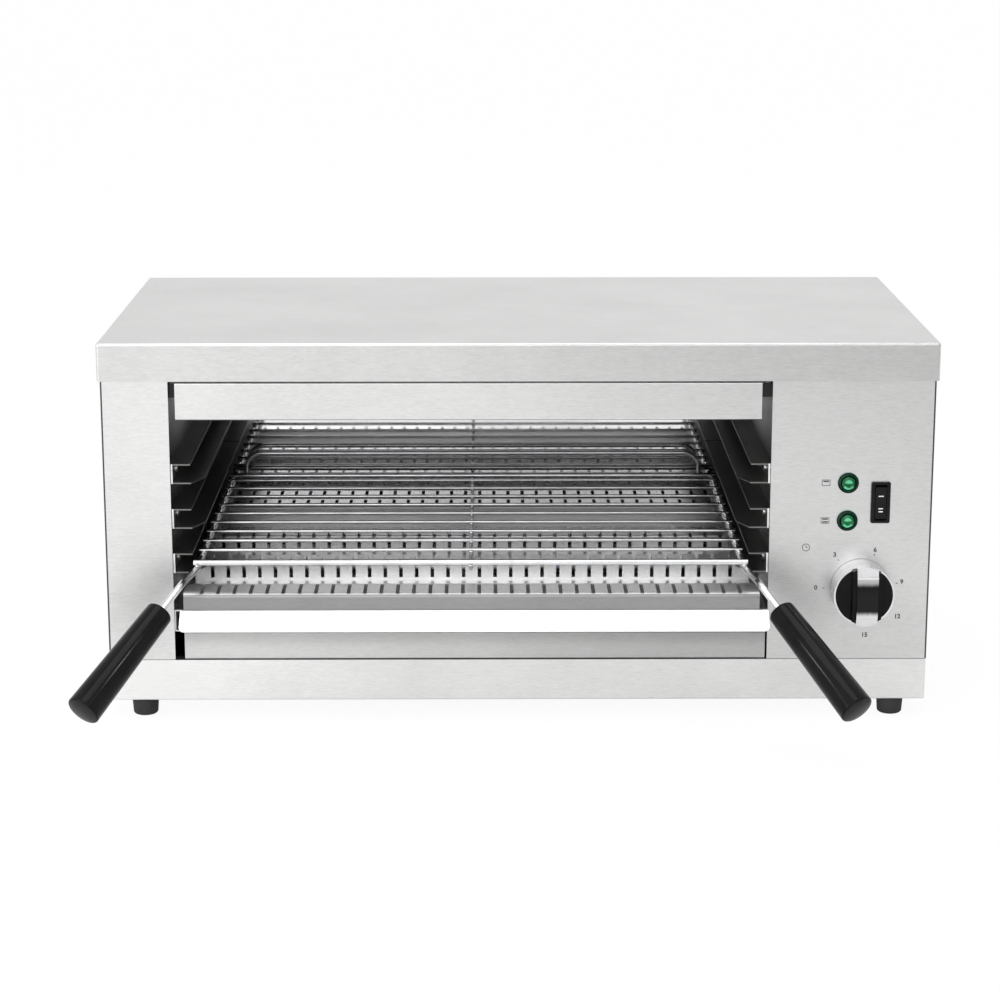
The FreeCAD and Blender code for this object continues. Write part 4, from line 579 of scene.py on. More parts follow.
NODE_FINISHES = {
    "casing": ["left_front_panel", "back_panel"],
    "base": ["base_pan"],
    "control": ["control_panel"],
    "cover": ["top_cover"],
    "lower": ["lower_front_panel"],
    "side": ["left_side_panel", "right_side_panel"],
    "fascia": ["upper_fascia"],
    "reflector": ["cavity_back_wall", "cavity_roof"],
    "cavity": ["cavity_left_wall", "cavity_right_wall",
               "upper_element_hangers"],
    "rail": ["left_lower_rail", "right_lower_rail"],
    "runner": [f"{side}_{level}_runner" for side in ("left", "right")
               for level in ("low", "middle", "high")],
    "sooty": ["fascia_brackets"],
    "guard": ["lower_guard"],
    "tray": ["crumb_tray"],
    "wire": ["rack_left_rod", "rack_right_rod", "rack_front_wire",
             "rack_rear_wire", "rack_cross_wires", "rack_stop_loop"],
    "dull_wire": ["rack_centre_wire"],
    "knob": ["timer_knob"],
    "screw": ["cover_screws", "back_screws", "runner_screws", "timer_screws",
              "foot_bolts", "lamp_nuts", "timer_shaft", "rocker_pin"],
    "grip": ["left_grip", "right_grip"],
    "plastic": ["rocker_housing", "rocker_paddle", "timer_body",
                "cable_gland", "gland_nut", "lamp_bodies"],
    "inset": ["knob_insets"],
    "rubber": ["feet"],
    "lamp_rim": ["lamp_lenses"],
    "sheath": ["upper_elements", "lower_elements"],
    "ceramic": ["upper_insulators", "lower_insulators", "terminal_block"],
    "wool": ["roof_insulation"],
    "brass": ["earth_terminal"],
}


# --------------------------------------------------------------- modelling


def only(item):
    """Select one object alone and make it active."""
    bpy.ops.object.select_all(action="DESELECT")
    item.select_set(True)
    bpy.context.view_layer.objects.active = item


def edit(item):
    """Open an object in edit mode."""
    only(item)
    bpy.ops.object.mode_set(mode="EDIT")


def close():
    """Leave edit mode."""
    bpy.ops.object.mode_set(mode="OBJECT")


def apply_place(item):
    """Move an object's place, turn and scale into its mesh."""
    only(item)
    bpy.ops.object.transform_apply(location=True, rotation=True, scale=True)


def choose(item, kind, test):
    """In edit mode, select the faces, edges or vertices that pass a test."""
    bpy.ops.mesh.select_mode(type=kind)
    bpy.ops.mesh.select_all(action="DESELECT")
    mesh = bmesh.from_edit_mesh(item.data)
    found = {"FACE": mesh.faces, "EDGE": mesh.edges, "VERT": mesh.verts}[kind]
    chosen = [part for part in found if test(part)]
    for part in chosen:
        part.select_set(True)
    if not chosen:
        raise RuntimeError(f"nothing to select on {item.name}")
    bmesh.update_edit_mesh(item.data)


def facing(way, least=0.9):
    """A test for faces whose normal points one way, in local axes."""
    return lambda face: face.normal.dot(way) > least


def rim(test):
    """A test for edges whose ends both pass a test of a place."""
    return lambda edge: all(test(v.co) for v in edge.verts)


def running(axis):
    """A test for edges that run along an axis."""
    return lambda edge: abs((edge.verts[0].co - edge.verts[1].co)
                            .normalized()[axis]) > 0.9


def extrude(offset, scale=1.0):
    """Extrude the selected faces by an offset, then scale them."""
    bpy.ops.mesh.extrude_region_move(
        TRANSFORM_OT_translate={"value": tuple(offset)})
    if scale != 1.0:
        bpy.ops.transform.resize(value=(scale, scale, scale))


def inset(thickness, depth=0.0):
    """Inset the selected faces."""
    bpy.ops.mesh.inset(thickness=thickness, depth=depth)


def bevel_edges(width, segments):
    """Round the selected edges."""
    bpy.ops.mesh.bevel(offset=width, segments=segments, affect="EDGES",
                       clamp_overlap=True)


def cylinder(radius, depth, place, way, vertices):
    """A cylinder whose local Z points one way, centred on a place."""
    turn = UP.rotation_difference(Vector(way)).to_euler()
    bpy.ops.mesh.primitive_cylinder_add(
        vertices=vertices, radius=radius, depth=depth, location=place,
        rotation=turn)
    return bpy.context.active_object


def block(low, high):
    """A block between two corners."""
    low, high = Vector(low), Vector(high)
    bpy.ops.mesh.primitive_cube_add(size=1.0, location=(low + high) / 2)
    item = bpy.context.active_object
    item.scale = high - low
    only(item)
    bpy.ops.object.transform_apply(location=False, rotation=False, scale=True)
    return item


def combine(base, tool, operation):
    """Join or cut one mesh by another with a boolean modifier."""
    only(base)
    step = base.modifiers.new("Combine", "BOOLEAN")
    step.operation = operation
    step.object = tool
    step.solver = "EXACT"
    bpy.ops.object.modifier_apply(modifier=step.name)
    bpy.data.objects.remove(tool)


def bevel_all(item, width, segments=3, angle=30.0):
    """Round every sharp edge with a bevel modifier."""
    only(item)
    step = item.modifiers.new("Rounding", "BEVEL")
    step.width = width
    step.segments = segments
    step.limit_method = "ANGLE"
    step.angle_limit = math.radians(angle)
    bpy.ops.object.modifier_apply(modifier=step.name)


def join(items):
    """Join several meshes into the first."""
    bpy.ops.object.select_all(action="DESELECT")
    for item in items:
        item.select_set(True)
    bpy.context.view_layer.objects.active = items[0]
    if len(items) > 1:
        bpy.ops.object.join()
    return items[0]


def copy_to(item, place, turn=None):
    """A copy of a mesh object with its own mesh, moved and turned."""
    copy = item.copy()
    copy.data = item.data.copy()
    bpy.context.scene.collection.objects.link(copy)
    copy.location = place
    if turn is not None:
        copy.rotation_euler = turn
    return copy


def settle(item, name, body, finish, replaced=(), angle=35.0):
    """Name a finished piece, give it its finish and let it ride."""
    apply_place(item)
    bpy.ops.object.shade_smooth_by_angle(angle=math.radians(angle))
    item.name = name
    item.data.name = name
    if finish:
        item.data.materials.clear()
        item.data.materials.append(FINISHES[finish])
    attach(item, body)
    if replaced:
        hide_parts(*replaced)


# --------------------------------------------------------------- operators


class MELTER_OT_finishes(bpy.types.Operator):
    """Give every node of the frame its finish"""

    bl_idname = "melter.finishes"
    bl_label = "Finishes"

    def execute(self, context):
        build_groups()
        build_finishes()
        for finish, names in NODE_FINISHES.items():
            for name in names:
                mesh = NODES[name].data
                mesh.materials.clear()
                mesh.materials.append(FINISHES[finish])
        return {"FINISHED"}


def pan_head_screw():
    """A pan-head screw with a cross recess, head up along local Z."""
    radius, shank, reach = 3.5 * MM, 1.9 * MM, 8.0 * MM
    item = cylinder(radius, SCREW_HEAD, (0, 0, SCREW_HEAD / 2), UP, 32)
    edit(item)
    choose(item, "EDGE", rim(lambda p: p.z > SCREW_HEAD / 4
                             and p.xy.length > radius / 2))
    bevel_edges(1.1 * MM, 4)
    choose(item, "FACE", facing(-UP))
    inset(radius - shank)
    extrude((0, 0, -reach))
    close()
    width, arm = sizes().screw_recess / 2, 1.9 * MM
    for x, y in ((arm, width), (width, arm)):
        tool = block((-x, -y, SCREW_HEAD * 0.4), (x, y, SCREW_HEAD * 1.5))
        combine(item, tool, "DIFFERENCE")
    return item


def screw_spots(node, axis, ways):
    """Each screw of a node: the seat of its head and its way out, where
    heads point along an axis one way, the other or both."""
    points = [v.co.copy() for v in NODES[node].data.vertices]
    spots = []
    for way in ways:
        top = max(point[axis] * way for point in points)
        heads = []
        for point in points:
            if point[axis] * way <= top - SCREW_HEAD * 0.1:
                continue
            near = [head for head in heads
                    if (head[0] - point).length < 8 * MM]
            if near:
                near[0].append(point)
            else:
                heads.append([point])
        for head in heads:
            seat = sum(head, Vector()) / len(head)
            seat[axis] = (top - SCREW_HEAD) * way
            out = Vector((0, 0, 0))
            out[axis] = way
            spots.append((seat, out))
    return spots


class MELTER_OT_screws(bpy.types.Operator):
    """Put pan-head screws with a cross recess in place of plain ones"""

    bl_idname = "melter.screws"
    bl_label = "Screws"

    groups = (("cover_screws", 0, (-1, 1), "cover_pan_screws"),
              ("back_screws", 1, (1,), "back_pan_screws"))
    first_twist, next_twist = 0.5, 3.1  # radians, of the recess

    def execute(self, context):
        pattern = pan_head_screw()
        for node, axis, ways, name in self.groups:
            copies = []
            for seat, out in screw_spots(node, axis, ways):
                angle = self.first_twist + self.next_twist * len(copies)
                twist = Matrix.Rotation(angle, 3, "Z")
                turn = UP.rotation_difference(out).to_matrix() @ twist
                copies.append(copy_to(pattern, seat, turn.to_euler()))
            settle(join(copies), name, "casing", "screw",
                   [node])
        bpy.data.objects.remove(pattern)
        return {"FINISHED"}


class MELTER_OT_lamps(bpy.types.Operator):
    """Model the two lamps' lenses, with a dark ring and a faceted dome"""

    bl_idname = "melter.lamps"
    bl_label = "Lamps"

    flange = 1.0 * MM
    finishes = ("lamp_rim", "lamp_ring", "lamp_middle", "lamp_glint")

    def execute(self, context):
        low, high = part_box("lamp_lenses")
        radius = (high.x - low.x) / 2
        lenses = []
        for height in (low.z + radius, high.z - radius):
            place = Vector(((low.x + high.x) / 2,
                            PANEL_FRONT - self.flange / 2, height))
            lenses.append(self.lens(radius, place))
        settle(join(lenses), "lamp_faceted_lenses", "casing", None,
               ["lamp_lenses"], angle=24.0)
        return {"FINISHED"}

    def lens(self, radius, place):
        """One lens: a rim, a sunk ring and a dome that ends in facets."""
        item = cylinder(radius, self.flange, place, FRONT, 32)
        edit(item)
        choose(item, "FACE", facing(UP))
        inset(0.7 * MM)
        extrude(FRONT * 1.3 * MM, 0.93)
        inset(0.5 * MM, 0.25 * MM)
        inset(1.2 * MM, -0.9 * MM)
        for rise, scale in ((1.5, 0.97), (0.7, 0.86), (0.35, 0.72)):
            extrude(FRONT * rise * MM, scale)
        bpy.ops.mesh.poke(offset=-0.5 * MM)
        choose(item, "FACE", facing(-UP))
        inset(radius - 4.8 * MM)
        extrude(BACK * 3.0 * MM)
        close()
        for finish in self.finishes:
            item.data.materials.append(FINISHES[finish])
        for face in item.data.polygons:
            reach, up = Vector(face.center.xy).length, face.center.y
            if face.center.z < 0.4 * MM:
                face.material_index = 0
            elif reach > 5.05 * MM:
                face.material_index = 1
            else:
                # The low arc and the top spot take the glint, a painted
                # highlight.
                low_arc = reach > 3.2 * MM and up < -reach * 0.6
                top_spot = reach < 2.2 * MM and up > reach * 0.2
                face.material_index = 3 if low_arc or top_spot else 2
        return item


class MELTER_OT_knob(bpy.types.Operator):
    """Model the timer's knob: a deep shell, two insets and a grip bar"""

    bl_idname = "melter.knob"
    bl_label = "Knob"

    off_axis = 1.6 * MM
    bar_width, bar_rise = 15.5 * MM, 7.5 * MM
    cheek_width, cheek_rise = 21.5 * MM, 5.2 * MM
    shaft_radius = 3.05 * MM
    plate = 1.5 * MM
    crown = 0.62  # share of the radius where the bar starts to fall away

    def execute(self, context):
        low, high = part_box("timer_knob")
        centre = (low + high) / 2
        radius = (high.x - low.x) / 2
        back, face = high.y, low.y + self.bar_rise
        shell = cylinder(radius, back - face,
                         (centre.x, (back + face) / 2, centre.z),
                         FRONT, sizes().segments)
        edit(shell)
        choose(shell, "FACE", facing(UP))
        inset(1.2 * MM)
        extrude(BACK * 1.6 * MM)
        choose(shell, "FACE", facing(-UP))
        inset(2.8 * MM)
        extrude(FRONT * 8.6 * MM)
        close()
        bar = self.bar(centre, radius, face, self.bar_width, self.bar_rise)
        combine(shell, bar, "UNION")
        hole = cylinder(self.shaft_radius, 24 * MM,
                        (centre.x, back - 0.5 * MM, centre.z), FRONT, 32)
        combine(shell, hole, "DIFFERENCE")
        bevel_all(shell, sizes().knob_rounding, angle=40.0)
        apply_place(shell)
        for finish in ("knob", "knob_crest", "knob_end"):
            shell.data.materials.append(FINISHES[finish])
        # The crest's middle gets a painted dark reflection and the bar's upper
        # end painted shade; other faces keep the plain chrome.
        for part in shell.data.polygons:
            spot, way = part.center, part.normal
            on_crest = (spot.y < face - 5.6 * MM and way.y < -0.9
                        and abs(spot.z - centre.z) < radius * 0.66)
            on_end = (spot.y < face - 2.5 * MM and way.y < -0.5
                      and spot.z > centre.z + radius * 0.60)
            part.material_index = 1 if on_crest else 2 if on_end else 0
        settle(shell, "timer_knob_shell", "timer_knob", None,
               ["timer_knob"], angle=40.0)
        self.insets(centre, radius - 1.3 * MM, face)
        return {"FINISHED"}

    def bar(self, centre, radius, face, width, rise):
        """A bar across the knob, its crest bowed from end to end."""
        across = centre.x + self.off_axis
        lead = 1.0 * MM
        bar = block((across - width / 2, face - lead, centre.z - radius),
                    (across + width / 2, face + 1.6 * MM, centre.z + radius))
        edit(bar)
        choose(bar, "EDGE", running(2))
        bpy.ops.mesh.subdivide(number_cuts=23)
        mesh = bmesh.from_edit_mesh(bar.data)
        front = min(v.co.y for v in mesh.verts)
        for height in sorted({round(v.co.z, 7) for v in mesh.verts}):
            reach = abs(height) / radius
            if reach > self.crown:
                lift = rise * (0.90 - (reach - self.crown) * 0.85)
            else:
                lift = rise * (0.90 + 0.10 * (1 - (reach / self.crown) ** 2))
            choose(bar, "VERT", lambda v: abs(v.co.z - height) < 1e-6
                   and v.co.y < front + 1e-6)
            bpy.ops.transform.translate(value=(0, lead - lift, 0))
        close()
        ring = cylinder(radius, 60 * MM, (centre.x, face, centre.z), FRONT,
                        sizes().segments)
        combine(bar, ring, "INTERSECT")
        return bar

    def insets(self, centre, radius, face):
        """Two glossy insets that climb the sides of the bar."""
        plate = cylinder(radius, self.plate,
                         (centre.x, face + 0.85 * MM, centre.z), FRONT,
                         sizes().segments)
        cheeks = self.bar(centre, radius, face, self.cheek_width,
                          self.cheek_rise)
        combine(plate, cheeks, "UNION")
        middle_gap = Vector((7.8, 20.0, 30.0)) * MM
        spot = Vector((centre.x + self.off_axis, face, centre.z))
        combine(plate, block(spot - middle_gap, spot + middle_gap),
                "DIFFERENCE")
        bevel_all(plate, 0.5 * MM)
        settle(plate, "timer_knob_inlays", "timer_knob", "inset",
               ["knob_insets"], angle=40.0)


class MELTER_OT_grips(bpy.types.Operator):
    """Model the two tapered grips, with rounded ends"""

    bl_idname = "melter.grips"
    bl_label = "Grips"

    droop, splay = math.radians(32.7), math.radians(35.3)
    length, neck, end = 98.0 * MM, 10.0 * MM, 12.5 * MM
    # The rod's bend, off the rack's middle, and its bare part, in mm.
    bend, bare_rod = (208.8, -42.0, 114.55), 28.0

    def execute(self, context):
        length, neck, end = self.length, self.neck, self.end
        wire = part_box("rack_front_wire")
        across = (wire[0].x + wire[1].x) / 2
        out, forward, up = self.bend
        for side, sign in (("left", -1), ("right", 1)):
            way = Vector((sign * math.sin(self.splay) * math.cos(self.droop),
                          -math.cos(self.splay) * math.cos(self.droop),
                          -math.sin(self.droop)))
            bend = Vector((across + sign * out * MM,
                           PANEL_FRONT + forward * MM, up * MM))
            start = bend + way * self.bare_rod * MM
            item = cylinder(neck, length, start + way * length / 2, way,
                            sizes().segments)
            edit(item)
            choose(item, "FACE", facing(UP))
            bpy.ops.transform.resize(value=(end / neck,) * 3)
            extrude(way * 0.0, 0.88)
            extrude(way * 0.9 * MM, 0.6)
            choose(item, "EDGE", rim(lambda p: abs(p.z - length / 2) < 1e-6
                                     and p.xy.length > end * 0.95))
            bevel_edges(5.0 * MM, 8)
            choose(item, "EDGE", rim(lambda p: p.z < -length * 0.49))
            bevel_edges(2.2 * MM, 5)
            close()
            hole = cylinder(2.55 * MM, 60 * MM, start + way * 20 * MM, way, 32)
            combine(item, hole, "DIFFERENCE")
            settle(item, side + "_moulded_grip", "rack", "grip",
                   [side + "_grip"], angle=30.0)
        return {"FINISHED"}


class MELTER_OT_welds(bpy.types.Operator):
    """Put a weld where each pair of rack wires meets"""

    bl_idname = "melter.welds"
    bl_label = "Rack welds"

    rod = 2.5 * MM
    thin_wire = 1.4 * MM
    gaps = 8

    def execute(self, context):
        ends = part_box("rack_front_wire")
        left, right = ends[0].x + self.rod, ends[1].x - self.rod
        centre = middle("rack_centre_wire").x
        low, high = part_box("rack_cross_wires")
        first, last = low.y + self.thin_wire, high.y - self.thin_wire
        spots = []
        for step in range(self.gaps + 1):
            y = first + (last - first) * step / self.gaps
            spots += [(left, y, low.z), (right, y, low.z),
                      (centre, y, low.z + 0.2 * MM)]
        for node in ("rack_front_wire", "rack_rear_wire"):
            y, z = middle(node).y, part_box(node)[0].z
            spots += [(left, y, z), (right, y, z), (centre, y, z)]
        bpy.ops.mesh.primitive_ico_sphere_add(
            subdivisions=2, radius=sizes().weld_radius)
        pattern = bpy.context.active_object
        edit(pattern)
        bpy.ops.mesh.select_all(action="SELECT")
        bpy.ops.transform.resize(value=(1.05, 0.9, 0.55))
        close()
        copies = [copy_to(pattern, place) for place in spots]
        bpy.data.objects.remove(pattern)
        settle(join(copies), "rack_welds", "rack", "wire")
        return {"FINISHED"}


class MELTER_OT_runner_lips(bpy.types.Operator):
    """Turn up a small bright lip at the front end of each runner; its
    brightness is a painted highlight
    """

    bl_idname = "melter.runner_lips"
    bl_label = "Runner lips"

    width = 1.7 * MM
    lead, depth = 0.4 * MM, 0.6 * MM

    def execute(self, context):
        lips = []
        for name in NODE_FINISHES["runner"]:
            low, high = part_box(name)
            if name.startswith("left"):
                start, end = low.x, low.x + self.width
            else:
                start, end = high.x - self.width, high.x
            lip = block((start, low.y - self.lead, low.z),
                        (end, low.y + self.depth, high.z))
            bevel_all(lip, 0.3 * MM)
            lips.append(lip)
        settle(join(lips), "runner_end_lips", "casing", "lip")
        return {"FINISHED"}


class MELTER_OT_feet(bpy.types.Operator):
    """Model the rubber feet, with a rounded tread and a hollow underside"""

    bl_idname = "melter.feet"
    bl_label = "Feet"

    tread, radius = 9.1 * MM, 10.0 * MM

    def execute(self, context):
        low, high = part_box("feet")
        items = []
        for x in (low.x + self.radius, high.x - self.radius):
            for y in (low.y + self.radius, high.y - self.radius):
                items.append(self.foot((x, y, (low.z + high.z) / 2),
                                       high.z - low.z))
        settle(join(items), "rubber_feet", "casing", "rubber",
               ["feet"])
        return {"FINISHED"}

    def foot(self, place, height):
        """One foot."""
        bpy.ops.mesh.primitive_cone_add(
            vertices=48, radius1=self.tread, radius2=self.radius,
            depth=height, location=place)
        item = bpy.context.active_object
        edit(item)
        choose(item, "EDGE", rim(lambda p: p.z < -height * 0.49))
        bevel_edges(2.0 * MM, 6)
        choose(item, "EDGE", rim(lambda p: p.z > height * 0.49))
        bevel_edges(0.4 * MM, 2)
        choose(item, "FACE", facing(-UP, 0.9999))
        inset(2.0 * MM)
        extrude((0, 0, 1.2 * MM), 0.92)
        close()
        return item


class MELTER_OT_gland(bpy.types.Operator):
    """Model the cable gland with a ribbed cap"""

    bl_idname = "melter.gland"
    bl_label = "Cable gland"

    radius, collar, bore = 11.0 * MM, 5.0 * MM, 4.1 * MM

    def execute(self, context):
        centre = middle("cable_gland")
        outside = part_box("back_panel")[1].y
        item = cylinder(self.radius, self.collar,
                        (centre.x, outside + self.collar / 2, centre.z),
                        BACK, 48)
        edit(item)
        choose(item, "EDGE", rim(lambda p: p.z > 2 * MM))
        bevel_edges(0.8 * MM, 3)
        choose(item, "FACE", facing(UP, 0.99))
        inset(1.6 * MM)
        extrude(BACK * 6.5 * MM)
        extrude(BACK * 2.5 * MM, 0.86)
        choose(item, "FACE", lambda f: f.index % 2 == 0 and abs(
            f.normal.z) < 0.2 and f.calc_center_median().z > 3 * MM)
        bpy.ops.mesh.inset(thickness=0.12 * MM, depth=-0.5 * MM,
                           use_individual=True)
        choose(item, "FACE", facing(-UP))
        inset(3.0 * MM)
        extrude(FRONT * 10.0 * MM)
        close()
        bore = cylinder(self.bore, 60 * MM,
                        (centre.x, outside, centre.z), BACK, 32)
        combine(item, bore, "DIFFERENCE")
        settle(item, "ribbed_cable_gland", "casing", "plastic",
               ["cable_gland"])
        return {"FINISHED"}


def printed_text(text, place, height):
    """Flat printed characters, centred on a place on the panel."""
    bpy.ops.object.text_add()
    item = bpy.context.active_object
    item.data.body = text
    item.data.align_x = "CENTER"
    item.data.align_y = "CENTER"
    item.data.size = height / 0.7
    item.data.extrude = sizes().print_thickness / 2
    item.data.offset = height * 0.045
    item.data.resolution_u = 4
    only(item)
    bpy.ops.object.convert(target="MESH")
    item = bpy.context.active_object
    item.rotation_euler = (math.radians(90), 0, 0)
    item.location = place
    apply_place(item)
    return item


def printed_bar(centre, along, length, width, face=None, thick=None):
    """A thin printed bar on the panel, along a direction in X and Z."""
    thick = thick or sizes().print_thickness
    face = PANEL_FRONT if face is None else face
    low = Vector((-length / 2, -thick / 2, -width / 2))
    item = block(low, -low)
    item.rotation_euler = (0, -math.atan2(along[1], along[0]), 0)
    item.location = (centre[0], face - thick / 2, centre[1])
    apply_place(item)
    return item


def printed_ring(x, z, radius, width):
    """A thin printed ring on the panel."""
    thick = sizes().print_thickness
    item = cylinder(radius, thick, (x, PANEL_FRONT - thick / 2, z), FRONT, 32)
    hole = cylinder(radius - width, thick * 4, (x, PANEL_FRONT, z), FRONT, 32)
    combine(item, hole, "DIFFERENCE")
    apply_place(item)
    return item


class MELTER_OT_dial(bpy.types.Operator):
    """Print the timer's numbers and ticks on the control panel"""

    bl_idname = "melter.dial"
    bl_label = "Dial"

    # Each number, and its place to the right of and above the knob's axis.
    numbers = (("0", -33.0, 0.2), ("3", -19.6, 25.4), ("6", 10.1, 29.0),
               ("9", 30.6, 4.6), ("12", 28.2, -22.0), ("15", 4.2, -36.2))
    ticks = (180.0, 128.0, 69.0, 7.6, -40.5, -86.0)
    reach, tick_width = 27.2 * MM, 0.6 * MM

    def execute(self, context):
        knob = middle("timer_knob")
        face = PANEL_FRONT - sizes().print_thickness / 2
        items = []
        for text, across, up in self.numbers:
            place = (knob.x + across * MM, face, knob.z + up * MM)
            items.append(printed_text(text, place, sizes().numeral_height))
        for angle in self.ticks:
            turn = math.radians(angle)
            way = (math.cos(turn), math.sin(turn))
            spot = (knob.x + way[0] * self.reach, knob.z + way[1] * self.reach)
            items.append(printed_bar(spot, way, sizes().tick_length,
                                     self.tick_width))
        settle(join(items), "dial_print", "casing", "ink")
        return {"FINISHED"}


class MELTER_OT_signs(bpy.types.Operator):
    """Print small signs by the lamps and the timer"""

    bl_idname = "melter.signs"
    bl_label = "Signs"

    lamp_gap = 8.5 * MM
    clock_place = (-41.0 * MM, 31.0 * MM)  # from the knob's axis

    def execute(self, context):
        low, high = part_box("lamp_lenses")
        knob = middle("timer_knob")
        radius = (high.x - low.x) / 2
        column = low.x - self.lamp_gap
        items = self.heat_sign(column, high.z - radius, (1,))
        items += self.heat_sign(column, low.z + radius, (1, -1))
        items += self.clock_sign(knob.x + self.clock_place[0],
                                 knob.z + self.clock_place[1])
        settle(join(items), "panel_signs", "casing", "ink")
        return {"FINISHED"}

    def heat_sign(self, x, z, rows):
        """A frame with a thick bar for each row of elements in use."""
        size = sizes().sign_size
        line, high = size * 0.07, size * 0.72
        items = [
            printed_bar((x, z + high / 2), (1, 0), size, line),
            printed_bar((x, z - high / 2), (1, 0), size, line),
            printed_bar((x - size / 2, z), (0, 1), high + line, line),
            printed_bar((x + size / 2, z), (0, 1), high + line, line),
        ]
        for way in rows:
            items.append(printed_bar((x, z + way * high * 0.25), (1, 0),
                                     size * 0.7, line * 2.4))
        return items

    def clock_sign(self, x, z):
        """A clock face with two hands."""
        size = sizes().sign_size
        line = size * 0.08
        return [
            printed_ring(x, z, size / 2, line),
            printed_bar((x, z + size * 0.14), (0, 1), size * 0.28, line),
            printed_bar((x + size * 0.1, z), (1, 0), size * 0.2, line),
        ]


class MELTER_OT_switch_frame(bpy.types.Operator):
    """Model the rocker switch's housing, with a round-cornered bezel"""

    bl_idname = "melter.switch_frame"
    bl_label = "Switch frame"

    body = Vector((6.0, 0.0, 14.2)) * MM
    well = Vector((4.4, 0.0, 13.4)) * MM
    pin_radius, pin_depth = 1.0 * MM, 4.0 * MM

    def execute(self, context):
        low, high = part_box("rocker_housing")
        face = PANEL_FRONT
        centre = (low + high) / 2
        centre.y = 0.0
        bezel = block(low, (high.x, face, high.z))
        edit(bezel)
        choose(bezel, "EDGE", running(1))
        bevel_edges(1.4 * MM, 5)
        front = min(v.co.y for v in bezel.data.vertices)
        choose(bezel, "EDGE", rim(lambda p: p.y < front + 0.01 * MM))
        bevel_edges(0.7 * MM, 4)
        close()
        body = block(centre - self.body + BACK * (face - 0.5 * MM),
                     centre + self.body + BACK * high.y)
        combine(bezel, body, "UNION")
        well = block(centre - self.well + BACK * (low.y - 5 * MM),
                     centre + self.well + BACK * (face + 14 * MM))
        combine(bezel, well, "DIFFERENCE")
        pin = cylinder(self.pin_radius, 30 * MM,
                       (centre.x, face + self.pin_depth, centre.z),
                       (1, 0, 0), 24)
        combine(bezel, pin, "DIFFERENCE")
        settle(bezel, "rocker_switch_frame", "casing", "plastic",
               ["rocker_housing"])
        return {"FINISHED"}


class MELTER_OT_switch_marks(bpy.types.Operator):
    """Print the white marks on the rocker switch's paddle"""

    bl_idname = "melter.switch_marks"
    bl_label = "Switch marks"

    dip = 1.3 * MM
    rows = ((5.0, 3.6), (-4.4, 3.2), (-6.6, 3.2))
    width, thick = 0.7 * MM, 0.12 * MM

    def execute(self, context):
        low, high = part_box("rocker_paddle")
        centre = (low + high) / 2
        half = (high.z - low.z) / 2
        items = []
        for up, length in self.rows:
            up, length = up * MM, length * MM
            face = low.y + self.dip * (1 - abs(up) / half)
            item = printed_bar((0, 0), (1, 0), length, self.width, face=0,
                               thick=self.thick)
            lean = math.atan2(self.dip, half) * (1 if up > 0 else -1)
            item.rotation_euler = (lean, 0, 0)
            item.location = (centre.x, face, centre.z + up)
            apply_place(item)
            items.append(item)
        settle(join(items), "switch_marks", "switch_paddle", "white_ink")
        return {"FINISHED"}


def white_share(tree, dimmed, mirrored=1.0):
    """How white a backdrop looks: fully to the camera and through glass,
    and in mirrors only where a mask doesn't dim it."""
    rays = tree.nodes.new("ShaderNodeLightPath").outputs
    clear = arithmetic(tree, "SUBTRACT", 1.0, dimmed)
    mirror = chain(tree, clear, ("MULTIPLY", rays["Is Glossy Ray"]),
                   ("MULTIPLY", mirrored))
    return chain(tree, rays["Is Camera Ray"],
                 ("MAXIMUM", rays["Is Transmission Ray"]),
                 ("MAXIMUM", mirror))


